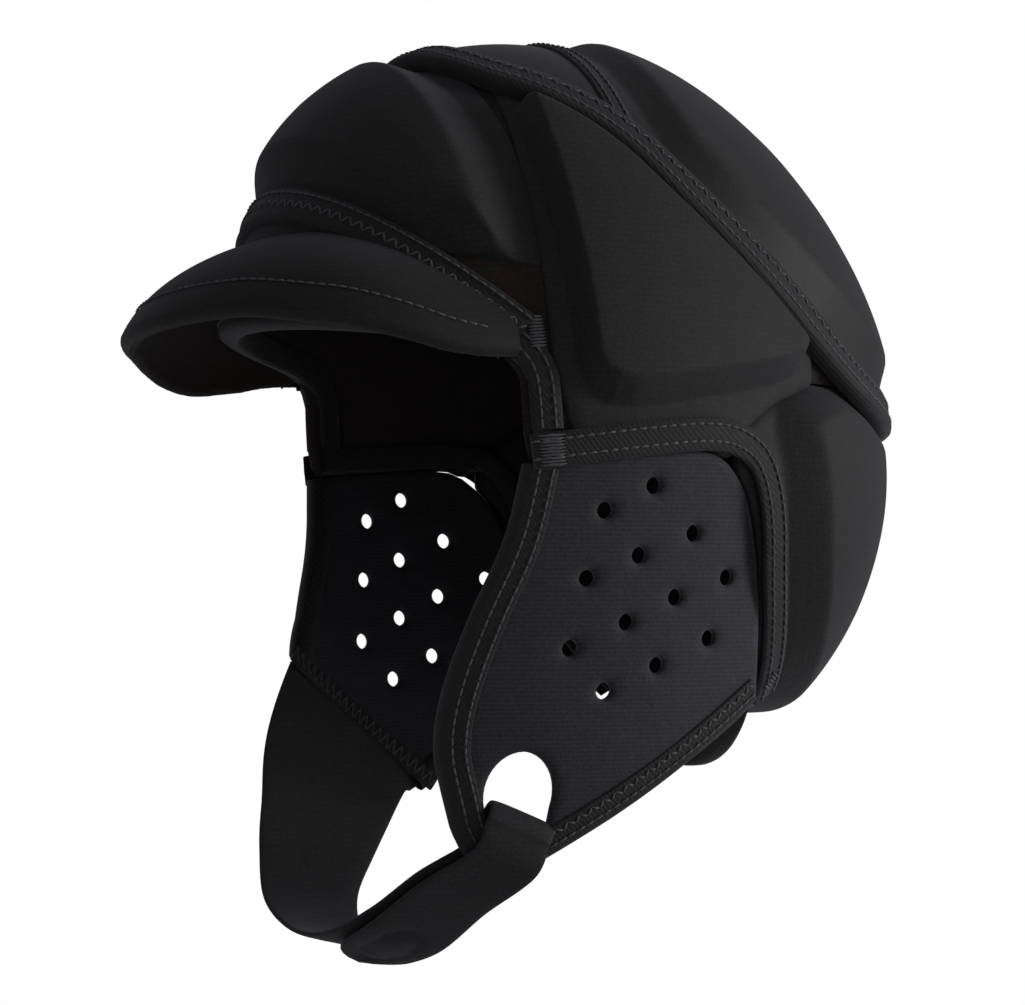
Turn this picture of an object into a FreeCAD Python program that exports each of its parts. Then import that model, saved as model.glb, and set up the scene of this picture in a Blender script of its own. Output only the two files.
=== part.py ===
import FreeCAD, Part
import math
import os
from FreeCAD import Placement, Rotation, Vector

# Soft water helmet. Millimetres, +Z up, the face looks along -Y and the wearer's left ear is at +X.
# The origin lies on the mid plane at the height of the ear centres.

os.makedirs("parts", exist_ok=True)
doc = FreeCAD.newDocument("WaterHelmet")

sizes = {
    # moulded outer form over the head: an ellipsoid leaning back
    "head_half_width": 93.0,
    "head_half_length": 108.6,
    "head_half_height": 131.8,
    "head_lean": 24.1,
    "head_centre_back": 12.6,
    "head_centre_up": 40.0,
    # form of the nape, narrower and upright
    "nape_half_width": 92.0,
    "nape_half_length": 105.0,
    "nape_half_height": 105.0,
    "nape_centre_back": 11.0,
    "nape_centre_up": 38.0,
    # layers, measured inward from the pad faces
    "pad_rise": 9.0,
    "crown_rise": 3.0,
    "cover_skin": 1.5,
    "foam_gap": 0.2,
    "layer_gap": 0.3,
    "liner_thick": 3.2,
    "pad_wall": 1.6,
    "channel_half": 7.0,
    # tapes and bindings
    "tape_thick": 0.8,
    "tape_gap": 0.1,
    "crown_tape_wide": 9.0,
    "cross_tape_wide": 7.0,
    "cross_seam_back": 4.0,
    "crown_pad_setback": 6.0,
    "ear_tape_depth": 6.2,
    # brim
    "brim_side_inset": 17.0,
    "brim_setback": 70.6,
    "brim_half_length": 86.0,
    "brim_half_height": 49.2,
    "brim_centre_up": 62.5,
    "brim_skin": 1.2,
    "brim_core": 2.6,
    # ear flaps
    "ear_inset": 17.0,
    "flap_radius": 110.0,
    "flap_lean": 11.3,
    "flap_centre_back": 8.0,
    "flap_thick": 3.5,
    "flap_hole": 5.0,
    # strap slot and strap
    "slot_half_wide": 9.4,
    "slot_half_tall": 12.0,
    "strap_thick": 2.2,
    "strap_play": 0.8,
    "strap_slot_wide": 19.5,
    "strap_chin_wide": 25.0,
    "strap_mid_wide": 31.0,
    "strap_low_wide": 23.0,
    "strap_jaw_wide": 38.0,
    "strap_cheek_wide": 49.0,
    "strap_fan_wide": 55.0,
    "strap_seam_wide": 59.0,
    "fold_hole": 3.5,
    "bar_drop": 9.0,
    "bar_ease": 0.5,
    "patch_thick": 0.7,
    "patch_gap": 1.1,
    "patch_wide": 16.0,
    "tab_tip_wide": 16.0,
    "hook_end_wide": 10.0,
}

# the outlines below are drawn for this head and stretch with it
drawn_half_width = 93.0
drawn_half_length = 108.6
drawn_half_height = 131.8
far = 220.0

sheet = doc.addObject("Spreadsheet::Sheet", "Sizes")
for row, (alias, value) in enumerate(sizes.items(), start=1):
    sheet.set("A%d" % row, alias)
    sheet.set("B%d" % row, str(value))
    sheet.setAlias("B%d" % row, alias)
doc.recompute()


def size(alias):
    return float(sheet.get(alias))


wide_ratio = size("head_half_width") / drawn_half_width
long_ratio = size("head_half_length") / drawn_half_length
tall_ratio = size("head_half_height") / drawn_half_height
nodes = []


def bound(obj, prop, formula):
    """Bind one property to an expression of sheet cells."""
    obj.setExpression(prop, formula)


def cells(formula):
    """Prefix the bare aliases of a depth formula with the sheet's name."""
    return " ".join("Sizes." + word if word in sizes else word for word in formula.split())


def keep(obj, label):
    obj.Label = label
    nodes.append(obj)
    return obj


def cut(base, *tools):
    result = base
    for tool in tools:
        step = doc.addObject("Part::Cut", "Cut")
        step.Base = result
        step.Tool = tool
        result = step
    return result


def common(base, *tools):
    result = base
    for tool in tools:
        step = doc.addObject("Part::Common", "Common")
        step.Base = result
        step.Tool = tool
        result = step
    return result


def fuse(*shapes):
    joined = doc.addObject("Part::MultiFuse", "Fuse")
    joined.Shapes = list(shapes)
    return joined


def mirrored(source):
    other = doc.addObject("Part::Mirroring", "Mirror")
    other.Source = source
    other.Base = Vector(0, 0, 0)
    other.Normal = Vector(1, 0, 0)
    return other


# ---- forms: each call gives the solid inside one surface, at a depth below the pad faces

def head_form(depth):
    solid = doc.addObject("Part::Ellipsoid", "HeadForm")
    bound(solid, "Radius1", cells("head_half_height - ( " + depth + " )"))
    bound(solid, "Radius2", cells("head_half_width - ( " + depth + " )"))
    bound(solid, "Radius3", cells("head_half_length - ( " + depth + " )"))
    centre = Vector(0, size("head_centre_back"), size("head_centre_up"))
    solid.Placement = Placement(centre, Rotation(Vector(1, 0, 0), size("head_lean")))
    return solid


def nape_form(depth):
    solid = doc.addObject("Part::Ellipsoid", "NapeForm")
    widen = " + head_half_width - %s" % drawn_half_width
    lengthen = " + head_half_length - %s" % drawn_half_length
    bound(solid, "Radius1", cells("nape_half_height - ( " + depth + " )"))
    bound(solid, "Radius2", cells("nape_half_width" + widen + " - ( " + depth + " )"))
    bound(solid, "Radius3", cells("nape_half_length" + lengthen + " - ( " + depth + " )"))
    centre = Vector(0, size("nape_centre_back"), size("nape_centre_up"))
    solid.Placement = Placement(centre, Rotation())
    return solid


def brim_form(depth):
    solid = doc.addObject("Part::Ellipsoid", "BrimForm")
    bound(solid, "Radius1", cells("brim_half_height - ( " + depth + " )"))
    bound(solid, "Radius2", cells("head_half_width - brim_side_inset - ( " + depth + " )"))
    bound(solid, "Radius3", cells("brim_half_length - ( " + depth + " )"))
    back = size("brim_setback") - size("head_half_length")
    solid.Placement = Placement(Vector(0, back, size("brim_centre_up")), Rotation())
    return solid


def flap_axis_side():
    """Where the axis of the flap cylinder crosses the ear level; the lean widens its level section."""
    level_radius = size("flap_radius") / math.cos(math.radians(size("flap_lean")))
    return size("head_half_width") - size("ear_inset") - level_radius


def flap_form(depth):
    solid = doc.addObject("Part::Cylinder", "FlapForm")
    bound(solid, "Radius", cells("flap_radius - ( " + depth + " )"))
    solid.Height = 2 * far
    lean = Rotation(Vector(0, 1, 0), size("flap_lean"))
    axis = lean.multVec(Vector(0, 0, 1))
    foot = Vector(flap_axis_side(), size("flap_centre_back"), 0) - axis * far
    solid.Placement = Placement(foot, lean)
    return solid


def layer(form, outer, inner):
    """Shell of one form between two depths."""
    return cut(form(outer), form(inner))


# ---- outlines drawn in the side view: first number back, second number up

def outline(points, both_sides=False, start=0.0, inset=None):
    sketch = doc.addObject("Sketcher::SketchObject", "SideOutline")
    sketch.Placement = Placement(Vector(start, 0, 0), Rotation(0.5, 0.5, 0.5, 0.5))
    scaled = [Vector(back * long_ratio, up * tall_ratio, 0) for back, up in points]
    for first, second in zip(scaled, scaled[1:] + scaled[:1]):
        sketch.addGeometry(Part.LineSegment(first, second), False)
    base = sketch
    if inset:
        base = doc.addObject("Part::Offset2D", "InsetOutline")
        base.Source = sketch
        bound(base, "Value", "0 - Sizes." + inset)
    prism = doc.addObject("Part::Extrusion", "SidePrism")
    prism.Base = base
    prism.DirMode = "Custom"
    prism.Dir = Vector(1, 0, 0)
    prism.LengthFwd = 2 * far if both_sides else far
    prism.Symmetric = both_sides
    prism.Solid = True
    return prism


crown_edge = [(-37, 152), (-30, 145.4), (-20.8, 141.8), (-2.7, 130.4), (15.8, 108.9), (39.6, 87.1),
              (66, 62.6), (92, 51), (128, 44), (160, 38)]
crown_pad_edge = [(12, 128), (27, 113), (49, 93.5), (74, 74.5), (97, 64), (160, 53), (160, 220)]
brim_line = [(-30, 71.8), (-130, 159.4)]
brow_edge = [(-34.5, 36), (-36, 66), (-60, 72), (-130, 82)]
ear_edge = [(25, 36), (15, 40), (-2.9, 38.5), (-30, 36.5)]
side_rear_line = [(66, 62.6), (33, 50.5), (25, 36)]
nape_edge = [(34, 25), (41, 2), (54, -30), (60, -38), (70, -47), (90, -53), (160, -58)]

crown_region = crown_edge + [(160, 220), (-39, 220)]
front_region = [(-30, 71.8), (-30, 145.4), (-37, 152), (-39, 220), (-130, 220), (-130, 159.4)]
brow_region = brim_line[:1] + [(-30, 36.5)] + brow_edge + brim_line[1:]
side_region = crown_edge[1:7] + side_rear_line[1:] + ear_edge[1:]
rear_region = side_rear_line[::-1] + crown_edge[7:] + nape_edge[::-1]
head_region = crown_edge[6:] + [(160, 220), (-130, 220)] + brow_edge[::-1] + ear_edge[::-1]
head_region = head_region + [(33, 50.5)]

front_pad = [(-38, 146.5), (-39, 220), (-130, 220), (-130, 162), (-40.4, 83), (-34, 79.5), (-35, 93.6),
             (-37, 117)]
front_pad_clear = [(-30, 150), (-30, 220), (-140, 220), (-140, 170.4), (-40.4, 82.6), (-30, 74)]
side_pad = [(-25, 139), (-24.5, 108.2), (-23, 79.8), (-21.9, 50.5), (12.9, 54.8), (60, 63), (39.6, 83.6),
            (15.8, 105.4), (-2.7, 126.9), (-19.5, 138.6)]
rear_pad = [(41, 52), (64, 59), (92, 47.5), (160, 34), (160, -49), (90, -45), (74, -40), (67, -30),
            (57, -10), (51, 9), (47, 38)]

skin = "cover_skin"
shell_in = "pad_rise + cover_skin"


def panel(label, form, region, pad, both_sides, flange, padded_flange=False):
    """One moulded panel: a fabric skin with a flat margin and a raised pad, and the foam inside."""
    pad_start = 0.0
    if form is nape_form:
        pad_start = size("channel_half")
    region_prism = outline(region, both_sides)
    block = common(form(flange), region_prism)
    cavity = None
    if pad:
        raised = common(form("0"), outline(pad, both_sides, pad_start))
        block = fuse(block, raised)
        cavity_prism = outline(pad, both_sides, pad_start + size("pad_wall"), "pad_wall")
        if both_sides:
            cavity_prism = outline(pad, both_sides, 0.0, "pad_wall")
        cavity = common(form(skin), cavity_prism)
        foam = common(form(skin + " + foam_gap"), cavity_prism)
    if padded_flange:
        under = common(form(flange + " + cover_skin"), region_prism)
        bed = common(form(flange + " + cover_skin + foam_gap"), region_prism)
        cavity = fuse(cavity, under) if cavity else under
        foam = fuse(foam, bed) if pad else bed
    cover = cut(block, cavity) if cavity else block
    cover = cut(cover, form(shell_in))
    pieces = [(label + "_cover", cover)]
    if cavity:
        pieces.append((label + "_foam", cut(foam, form(shell_in))))
    for piece_label, piece in pieces:
        if both_sides:
            keep(piece, piece_label)
        else:
            keep(piece, "left_" + piece_label)
            keep(mirrored(piece), "right_" + piece_label)


crown_flange = "pad_rise - crown_rise"
cross_back = size("cross_seam_back")
crown_front_region = [(-37, 152), (-30, 145.4), (-20.8, 141.8), (-2.7, 130.4), (cross_back, 122.6),
                      (cross_back, 220), (-39, 220)]
crown_rear_region = [(cross_back, 122.6)] + crown_edge[4:] + [(160, 220), (cross_back, 220)]
pad_back = cross_back + size("crown_pad_setback")
crown_pad = [(pad_back, 220), (pad_back, 138)] + crown_pad_edge

panel("crown_front", head_form, crown_front_region, None, True, crown_flange, True)
panel("crown_rear", head_form, crown_rear_region, crown_pad, True, crown_flange, True)
panel("front_panel", head_form, front_region, front_pad, True, "pad_rise")
panel("side_panel", head_form, side_region, side_pad, False, "pad_rise")
panel("rear_panel", nape_form, rear_region, rear_pad, False, "pad_rise")

brow = cut(common(head_form("pad_rise"), outline(brow_region, True)), head_form(shell_in))
keep(brow, "brow_band")

liner_out = shell_in + " + layer_gap"
liner_in = liner_out + " + liner_thick"
keep(common(layer(head_form, liner_out, liner_in), outline(head_region, True)), "inner_liner")
keep(common(layer(nape_form, liner_out, liner_in), outline(rear_region, True)), "nape_liner")

# ---- tapes and bindings lying on the covers

tape_low = "pad_rise - tape_gap"
tape_high = tape_low + " - tape_thick"
crown_low = crown_flange + " - tape_gap"
crown_high = crown_low + " - tape_thick"

crown_skin = layer(head_form, crown_high, crown_low)
crown_whole = outline(crown_region, True)
crown_inside = outline(crown_region, True, 0.0, "crown_tape_wide")
keep(cut(common(crown_skin, crown_whole), crown_inside), "crown_edge_tape")

half_cross = size("cross_tape_wide") / 2
cross_strip = [(cross_back - half_cross, 60), (cross_back + half_cross, 60),
               (cross_back + half_cross, 220), (cross_back - half_cross, 220)]
keep(common(crown_skin, outline(cross_strip, True), crown_inside), "crown_cross_tape")

brim_side = [(-36, 67), (-60, 66), (-80, 67.5), (-94, 70), (-108, 74), (-140, 76), (-140, 140), (-36, 140)]
core_out = "brim_skin + tape_gap"
core_in = core_out + " + brim_core"
under_out = core_in + " + tape_gap"
under_in = under_out + " + brim_skin"


def brim_root():
    """Where the brim is sewn in, with clearance on both faces."""
    return common(layer(brim_form, "0 - layer_gap", under_in + " + layer_gap"), outline(brim_side, True))


seam_band = [(-33, 74.4), (-110, 141.9), (-110, 137.2), (-33, 67.3)]
seam_layer = common(layer(head_form, tape_high, tape_low), outline(seam_band, True))
keep(cut(seam_layer, brim_root()), "brim_seam_tape")

brow_bind = brow_edge + [(-130, 90), (-60, 80), (-33.2, 72.5), (-31.2, 64), (-30.2, 45)]
brow_layer = common(layer(head_form, tape_high, tape_low), outline(brow_bind, True))
clear_of_ear = outline([(-60, 0), (20, 0), (20, 44.5), (-60, 44.5)], True)
clear_of_seam = outline(seam_band, True)
keep(cut(brow_layer, brim_root(), clear_of_ear, clear_of_seam), "brow_binding")

ear_tape_low = "ear_tape_depth + tape_thick"
ear_band = [(-34, 42), (-2.9, 47.1), (19.3, 49), (30, 46), (38, 40), (43.7, 25.9), (48, 2), (62, -28),
            (55, -31), (42.5, 1), (36.5, 23), (31, 33), (24, 36), (14, 36.8), (-2.9, 35.2), (-34, 33)]
ear_tape = common(layer(nape_form, "ear_tape_depth", ear_tape_low), outline(ear_band))
keep(ear_tape, "left_ear_tape")
keep(mirrored(ear_tape), "right_ear_tape")

inner_band = [(-30, 37.5), (-30, 46), (-2.9, 48), (17, 49.5), (31, 49), (24, 37.5), (15, 41), (-2.9, 39.5)]
inner_tape = common(layer(head_form, liner_in + " + tape_gap", liner_in + " + tape_gap + tape_thick"),
                    outline(inner_band))
keep(inner_tape, "left_inner_ear_tape")
keep(mirrored(inner_tape), "right_inner_ear_tape")

nape_band = [(62, -30), (60, -38), (70, -47), (90, -53), (160, -58), (160, -50), (90, -45.5), (75, -41),
             (68, -31)]
nape_layer = common(layer(nape_form, tape_high, tape_low), outline(nape_band, True))
nape_clear = outline(ear_band, True)
rear_clear = common(nape_form("0"), outline(rear_pad, True))
keep(cut(nape_layer, nape_clear, rear_clear), "nape_binding")

# ---- brim: two skins over a springy core, cut where the forehead begins

pad_clear = common(head_form("0 - layer_gap"), outline(front_pad_clear, True))
for label, outer, inner in (("brim_top_cover", "0", "brim_skin"),
                            ("brim_core", core_out, core_in),
                            ("brim_under_cover", under_out, under_in)):
    band = common(layer(brim_form, outer, inner), outline(brim_side, True))
    keep(cut(band, head_form("pad_rise - layer_gap"), pad_clear), label)

# ---- ear flaps: perforated sheets, the left one with the strap slot

flap_front = [(-47, -58), (-50.9, -43.8), (-49.9, -27.2), (-44.4, -5.1), (-37.5, 14.1), (-35.2, 34.8)]
flap_top = [(-30, 35.9), (-2.9, 37.9), (15, 39.3), (24, 35.4), (33, 24)]
flap_rear = [(40.2, -2.4), (43.3, -28.2), (43.3, -32.6)]
left_hem = [(7.7, -55.8), (-22, -74), (-30, -79), (-38, -78), (-44, -70)]
right_cut = [(-2.5, -61.8), (-50.6, -21.8)]
flap_holes = [(-0.2, 29.3), (-13.8, 22.4), (13.9, 16.3), (-2.6, 10.1), (-17, 3.7), (27.1, 4.1),
              (10.1, -1.5), (-4.5, -8.4), (22.9, -13.1), (-19.8, -15.6), (6.2, -20.5), (-9, -27.6)]

left_outline = flap_front + flap_top + flap_rear + left_hem
right_outline = flap_front[3:] + flap_top + flap_rear + [(7.7, -55.8)] + right_cut + [(-49, -14)]


def flap_sheet(points):
    sheet_layer = layer(flap_form, "0", "flap_thick")
    flap = common(sheet_layer, outline(points))
    pegs = []
    for back, up in flap_holes:
        peg = doc.addObject("Part::Cylinder", "Perforation")
        bound(peg, "Radius", "Sizes.flap_hole / 2")
        peg.Height = far
        peg.Placement = Placement(Vector(20, back * long_ratio, up * tall_ratio),
                                  Rotation(Vector(0, 1, 0), 90))
        pegs.append(peg)
    return cut(flap, fuse(*pegs))


# the strap folds over a bar: a frame on the left flap below the slot
bar_back = -29.5 * long_ratio
bar_up = -66.6 * tall_ratio
flap_slope = math.tan(math.radians(size("flap_lean")))
reach = bar_back - size("flap_centre_back")
level_reach = math.sqrt(size("flap_radius") ** 2 - reach ** 2) / math.cos(math.radians(size("flap_lean")))
flap_face = flap_axis_side() + flap_slope * bar_up + level_reach
bar_middle = Vector(flap_face - size("flap_thick") / 2, bar_back, bar_up)
bar_along = Vector(0.243, 0.886, -0.401).normalize()
flap_out = Vector(0.925, -0.335, -0.18)
flap_out = (flap_out - bar_along * flap_out.dot(bar_along)).normalize()
bar_rise = flap_out.cross(bar_along)


def frame_rotation(along, out, rise):
    """Rotation whose X runs along the bar, Y points out of the flap and Z up the flap."""
    matrix = FreeCAD.Matrix(along.x, out.x, rise.x, 0, along.y, out.y, rise.y, 0,
                            along.z, out.z, rise.z, 0, 0, 0, 0, 1)
    return Placement(matrix).Rotation


bar_frame = frame_rotation(bar_along * -1, flap_out, bar_rise)
foot_reach = 40.0
foot_tall = 7.0

slot_oval = doc.addObject("Part::Ellipsoid", "SlotOval")
bound(slot_oval, "Radius1", "Sizes.slot_half_tall")
slot_oval.Radius2 = far
bound(slot_oval, "Radius3", "Sizes.slot_half_wide")
slot_oval.Placement = Placement(Vector(bar_middle.x, -29.6 * long_ratio, -56.4 * tall_ratio), Rotation())
slot_foot = doc.addObject("Part::Box", "SlotFoot")
bound(slot_foot, "Length", "Sizes.strap_slot_wide + Sizes.strap_play")
slot_foot.Width = foot_reach
slot_foot.Height = foot_tall
foot_corner = Vector(-(size("strap_slot_wide") + size("strap_play")) / 2, -foot_reach / 2, 0)
slot_foot.Placement = Placement(bar_middle + bar_frame.multVec(foot_corner), bar_frame)
near_side = outline([(-80, -90), (0, -90), (0, -30), (-80, -30)])
slot_tool = fuse(common(slot_oval, near_side), slot_foot)

keep(cut(flap_sheet(left_outline), slot_tool), "left_ear_flap")
keep(mirrored(flap_sheet(right_outline)), "right_ear_flap")

face_low = "0 - tape_gap"
face_high = face_low + " - tape_thick"


def flap_strip(points):
    return common(layer(flap_form, face_high, face_low), outline(points))


left_bind = flap_front[:-1] + [(-35.2, 32.5), (-27, 32.5), (-29.3, 13), (-36, -6.5), (-41.2, -27),
                               (-42.4, -42), (-41.5, -56)]
right_bind = flap_front[3:-1] + [(-35.2, 32.5), (-27, 32.5), (-29.3, 13), (-36, -6.5), (-37.5, -10),
                                 (-45.9, -10)]
left_hem_strip = [(43.3, -32.6), (7.7, -55.8), (-17.5, -71.3), (-14, -63.5), (10, -48.6), (43, -26)]
right_hem_strip = [(43.3, -32.6), (7.7, -55.8), (-1, -60.8), (-1, -55.3), (10, -48.6), (43, -26)]
keep(flap_strip(left_bind), "left_face_binding")
keep(mirrored(flap_strip(right_bind)), "right_face_binding")
keep(flap_strip(left_hem_strip), "left_flap_hem")
keep(mirrored(flap_strip(right_hem_strip)), "right_flap_hem")

seam_strip = [(-4, -62.2), (-52, -22.2), (-47.5, -16.8), (0.5, -56.8)]
seam_strip_inner = common(layer(flap_form, "flap_thick + tape_gap", "flap_thick + tape_gap + tape_thick"),
                          outline(seam_strip))
keep(mirrored(seam_strip_inner), "strap_seam_tape")

# ---- chin strap: stations from the right flap seam, under the chin, up inside the left flap


def on_head(side, back, up):
    return Vector(side * wide_ratio, back * long_ratio, up * tall_ratio)


def strap_frames(stations):
    """Centre, direction across, outer normal and direction along at each station."""
    frames = []
    for index, (centre, across, along) in enumerate(stations):
        before = stations[max(index - 1, 0)][0]
        after = stations[min(index + 1, len(stations) - 1)][0]
        along = Vector(*along) if along else after - before
        along.normalize()
        across = Vector(*across)
        across = (across - along * across.dot(along)).normalize()
        frames.append((centre, across, across.cross(along), along))
    return frames


def strap_loft(frames, wide_names, lift, thick):
    """Band lofted through rectangles, moved along the strap's outer normal by the lift."""
    sections = []
    for (centre, across, out, along), wide_name in zip(frames, wide_names):
        sketch = doc.addObject("Sketcher::SketchObject", "StrapSection")
        facing = across.cross(out)
        matrix = FreeCAD.Matrix(across.x, out.x, facing.x, 0, across.y, out.y, facing.y, 0,
                                across.z, out.z, facing.z, 0, 0, 0, 0, 1)
        sketch.Placement = Placement(centre + out * lift, Placement(matrix).Rotation)
        half_wide = size(wide_name) / 2
        half_thick = thick / 2
        corners = [Vector(-half_wide, -half_thick, 0), Vector(half_wide, -half_thick, 0),
                   Vector(half_wide, half_thick, 0), Vector(-half_wide, half_thick, 0)]
        for first, second in zip(corners, corners[1:] + corners[:1]):
            sketch.addGeometry(Part.LineSegment(first, second), False)
        sections.append(sketch)
    loft = doc.addObject("Part::Loft", "StrapLoft")
    loft.Sections = sections
    loft.Solid = True
    loft.Ruled = False
    return loft


strap_thick = size("strap_thick")
patch_thick = size("patch_thick")
fold_mid = size("fold_hole") + strap_thick / 2
patch_step = strap_thick / 2 + size("tape_gap") + patch_thick / 2
tab_lift = 2 * patch_step + patch_thick + size("patch_gap")
end_gap = size("layer_gap")
bar_drop = size("bar_drop")
bar_ease = size("bar_ease")
tab_start = bar_middle + flap_out * fold_mid - bar_rise * end_gap
chin_end = bar_middle - flap_out * fold_mid - bar_rise * end_gap
down = (-bar_rise.x, -bar_rise.y, -bar_rise.z)
rise = (bar_rise.x, bar_rise.y, bar_rise.z)
along_bar = (bar_along.x, bar_along.y, bar_along.z)

# centre line of the chin strap, the direction across it and, at its ends, the direction along it
chin_path = [
    (on_head(-57, -29, -44.4), (-0.144, 0.764, -0.629), (0, -0.629, -0.764)),
    (on_head(-58.5, -31.5, -53), (-0.1, 0.93, -0.35), (0.02, -0.35, -0.93)),
    (on_head(-59, -33.5, -63), (-0.05, 0.99, -0.05), None),
    (on_head(-54.5, -41, -80), (0.05, 0.98, -0.12), None),
    (on_head(-41, -49, -93), (0, 1, -0.06), None),
    (on_head(-20, -53, -101), (0, 0.98, -0.15), None),
    (on_head(4, -53, -101.5), (-0.02, 0.95, -0.28), None),
    (on_head(25, -49.5, -94), (-0.1, 0.92, -0.37), None),
    (on_head(40.5, -43, -83), (0, 0.92, -0.38), None),
    (bar_middle - flap_out * (fold_mid + bar_ease) - bar_rise * bar_drop, along_bar, rise),
    (chin_end, along_bar, rise),
]
chin_widths = ["strap_seam_wide", "strap_fan_wide", "strap_cheek_wide", "strap_jaw_wide",
               "strap_mid_wide", "strap_chin_wide", "strap_chin_wide", "strap_chin_wide",
               "strap_low_wide", "strap_slot_wide", "strap_slot_wide"]
chin_frames = strap_frames(chin_path)
keep(strap_loft(chin_frames, chin_widths, 0.0, strap_thick), "chin_strap")

# the folded-back end follows the strap below the flap
tab_head = strap_frames([
    (tab_start, along_bar, down),
    (bar_middle + flap_out * (fold_mid + bar_ease) - bar_rise * bar_drop, along_bar, down),
])
tab_follow = []
for centre, across, out, along in chin_frames[8:5:-1]:
    tab_follow.append((centre + out * tab_lift, across, out, along * -1))
tab_frames = [(centre, across, out * -1, along) for centre, across, out, along in tab_head] + tab_follow
tab_widths = ["strap_slot_wide", "strap_slot_wide", "strap_low_wide", "strap_chin_wide", "tab_tip_wide"]
keep(strap_loft(tab_frames, tab_widths, 0.0, strap_thick), "strap_tab")

patch_start = 6.0
patch_stop = 30.0
patch_side = [(-90, -130), (0, -130), (0, -60), (-90, -60)]
patch_box = cut(outline(patch_side, False, patch_start), outline(patch_side, False, patch_stop))
patch_widths = ["patch_wide"] * len(chin_frames)
loop_band = strap_loft(chin_frames, patch_widths, patch_step, patch_thick)
keep(common(loop_band, patch_box), "loop_patch")
hook_band = strap_loft(tab_frames, ["patch_wide"] * 4 + ["hook_end_wide"], -patch_step, patch_thick)
keep(common(hook_band, patch_box), "hook_patch")

fold_outer = doc.addObject("Part::Cylinder", "FoldOuter")
bound(fold_outer, "Radius", "Sizes.fold_hole + Sizes.strap_thick")
fold_inner = doc.addObject("Part::Cylinder", "FoldInner")
bound(fold_inner, "Radius", "Sizes.fold_hole")
for tube in (fold_outer, fold_inner):
    bound(tube, "Height", "Sizes.strap_slot_wide")
    half_run = size("strap_slot_wide") / 2
    turn = Rotation(Vector(0, 0, 1), bar_along)
    tube.Placement = Placement(bar_middle - bar_along * half_run, turn)
fold_keep = doc.addObject("Part::Box", "FoldKeep")
bound(fold_keep, "Length", "Sizes.strap_slot_wide")
fold_keep.Width = foot_reach
fold_keep.Height = foot_reach / 2
fold_corner = Vector(-size("strap_slot_wide") / 2, -foot_reach / 2, 0)
fold_keep.Placement = Placement(bar_middle + bar_frame.multVec(fold_corner), bar_frame)
keep(common(cut(fold_outer, fold_inner), fold_keep), "strap_fold")

# ---- bartacks

tack_low = tape_high + " - tape_gap"
tack_high = tack_low + " - tape_thick"
brim_tack = [(-35.5, 66), (-31.5, 66), (-31.5, 76), (-35.5, 76)]
keep(common(layer(head_form, tack_high, tack_low), outline(brim_tack, True)), "brim_bartacks")
ear_tack_low = "ear_tape_depth - tape_gap"
ear_tack_high = ear_tack_low + " - tape_thick"
ear_tack = [(-34, 34), (-26, 34.6), (-26, 42.5), (-34, 41.5)]
rear_tack = [(50.5, -22), (59, -25.5), (61, -28), (53, -28.5)]
tack_layer = layer(nape_form, ear_tack_high, ear_tack_low)
keep(fuse(common(tack_layer, outline(ear_tack, True)), common(tack_layer, outline(rear_tack, True))),
     "ear_bartacks")

doc.recompute()

for obj in doc.Objects:
    if "Invalid" in obj.State or "Error" in obj.State:
        raise RuntimeError("failed: %s %s %s" % (obj.Name, obj.Label, obj.State))
for obj in nodes:
    if obj.Shape.isNull() or not obj.Shape.isValid() or not obj.Shape.Solids:
        raise RuntimeError("bad shape: %s" % obj.Label)
for obj in nodes:
    obj.Shape.exportStep("parts/%s.step" % obj.Label)
    box = obj.Shape.BoundBox
    print("%-24s solids %d  volume %9.1f  x %.0f..%.0f  y %.0f..%.0f  z %.0f..%.0f" % (
        obj.Label, len(obj.Shape.Solids), obj.Shape.Volume, box.XMin, box.XMax, box.YMin, box.YMax,
        box.ZMin, box.ZMax))
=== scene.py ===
import math
import bmesh
import bpy
import numpy as np
from mathutils import Matrix, Vector, geometry, kdtree, noise


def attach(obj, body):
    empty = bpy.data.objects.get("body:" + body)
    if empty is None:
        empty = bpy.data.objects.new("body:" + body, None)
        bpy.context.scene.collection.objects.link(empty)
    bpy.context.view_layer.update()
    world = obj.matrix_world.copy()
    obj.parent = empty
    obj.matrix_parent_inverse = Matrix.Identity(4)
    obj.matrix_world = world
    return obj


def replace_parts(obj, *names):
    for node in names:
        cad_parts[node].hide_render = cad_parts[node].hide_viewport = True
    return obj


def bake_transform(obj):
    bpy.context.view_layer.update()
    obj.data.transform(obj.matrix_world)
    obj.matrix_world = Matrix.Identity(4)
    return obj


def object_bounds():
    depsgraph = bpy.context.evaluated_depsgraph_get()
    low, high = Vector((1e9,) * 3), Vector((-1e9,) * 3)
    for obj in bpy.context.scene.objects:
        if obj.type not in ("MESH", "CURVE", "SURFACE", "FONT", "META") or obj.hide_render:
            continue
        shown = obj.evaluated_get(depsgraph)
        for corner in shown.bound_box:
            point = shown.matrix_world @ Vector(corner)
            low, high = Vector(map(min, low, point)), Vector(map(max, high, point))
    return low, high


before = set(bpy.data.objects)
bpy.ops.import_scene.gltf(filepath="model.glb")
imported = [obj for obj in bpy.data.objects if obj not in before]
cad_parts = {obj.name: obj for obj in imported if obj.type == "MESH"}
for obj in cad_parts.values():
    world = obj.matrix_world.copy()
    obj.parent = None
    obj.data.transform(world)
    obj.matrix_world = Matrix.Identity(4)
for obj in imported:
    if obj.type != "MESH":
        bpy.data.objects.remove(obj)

cadBox = [list(corner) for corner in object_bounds()]
mm = 0.001
outlineStep = 0.8  # spacing along an outline before it is lifted, mm
lineStep = 1.5  # spacing along a finished edge line, mm
weldGap = 0.00002  # vertices closer than this are one, m
thinEdge = 0.00001  # edges shorter than this are dissolved, m
print("frame loaded")


# forms: the smooth surfaces that the cloth follows, all in millimetres

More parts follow.
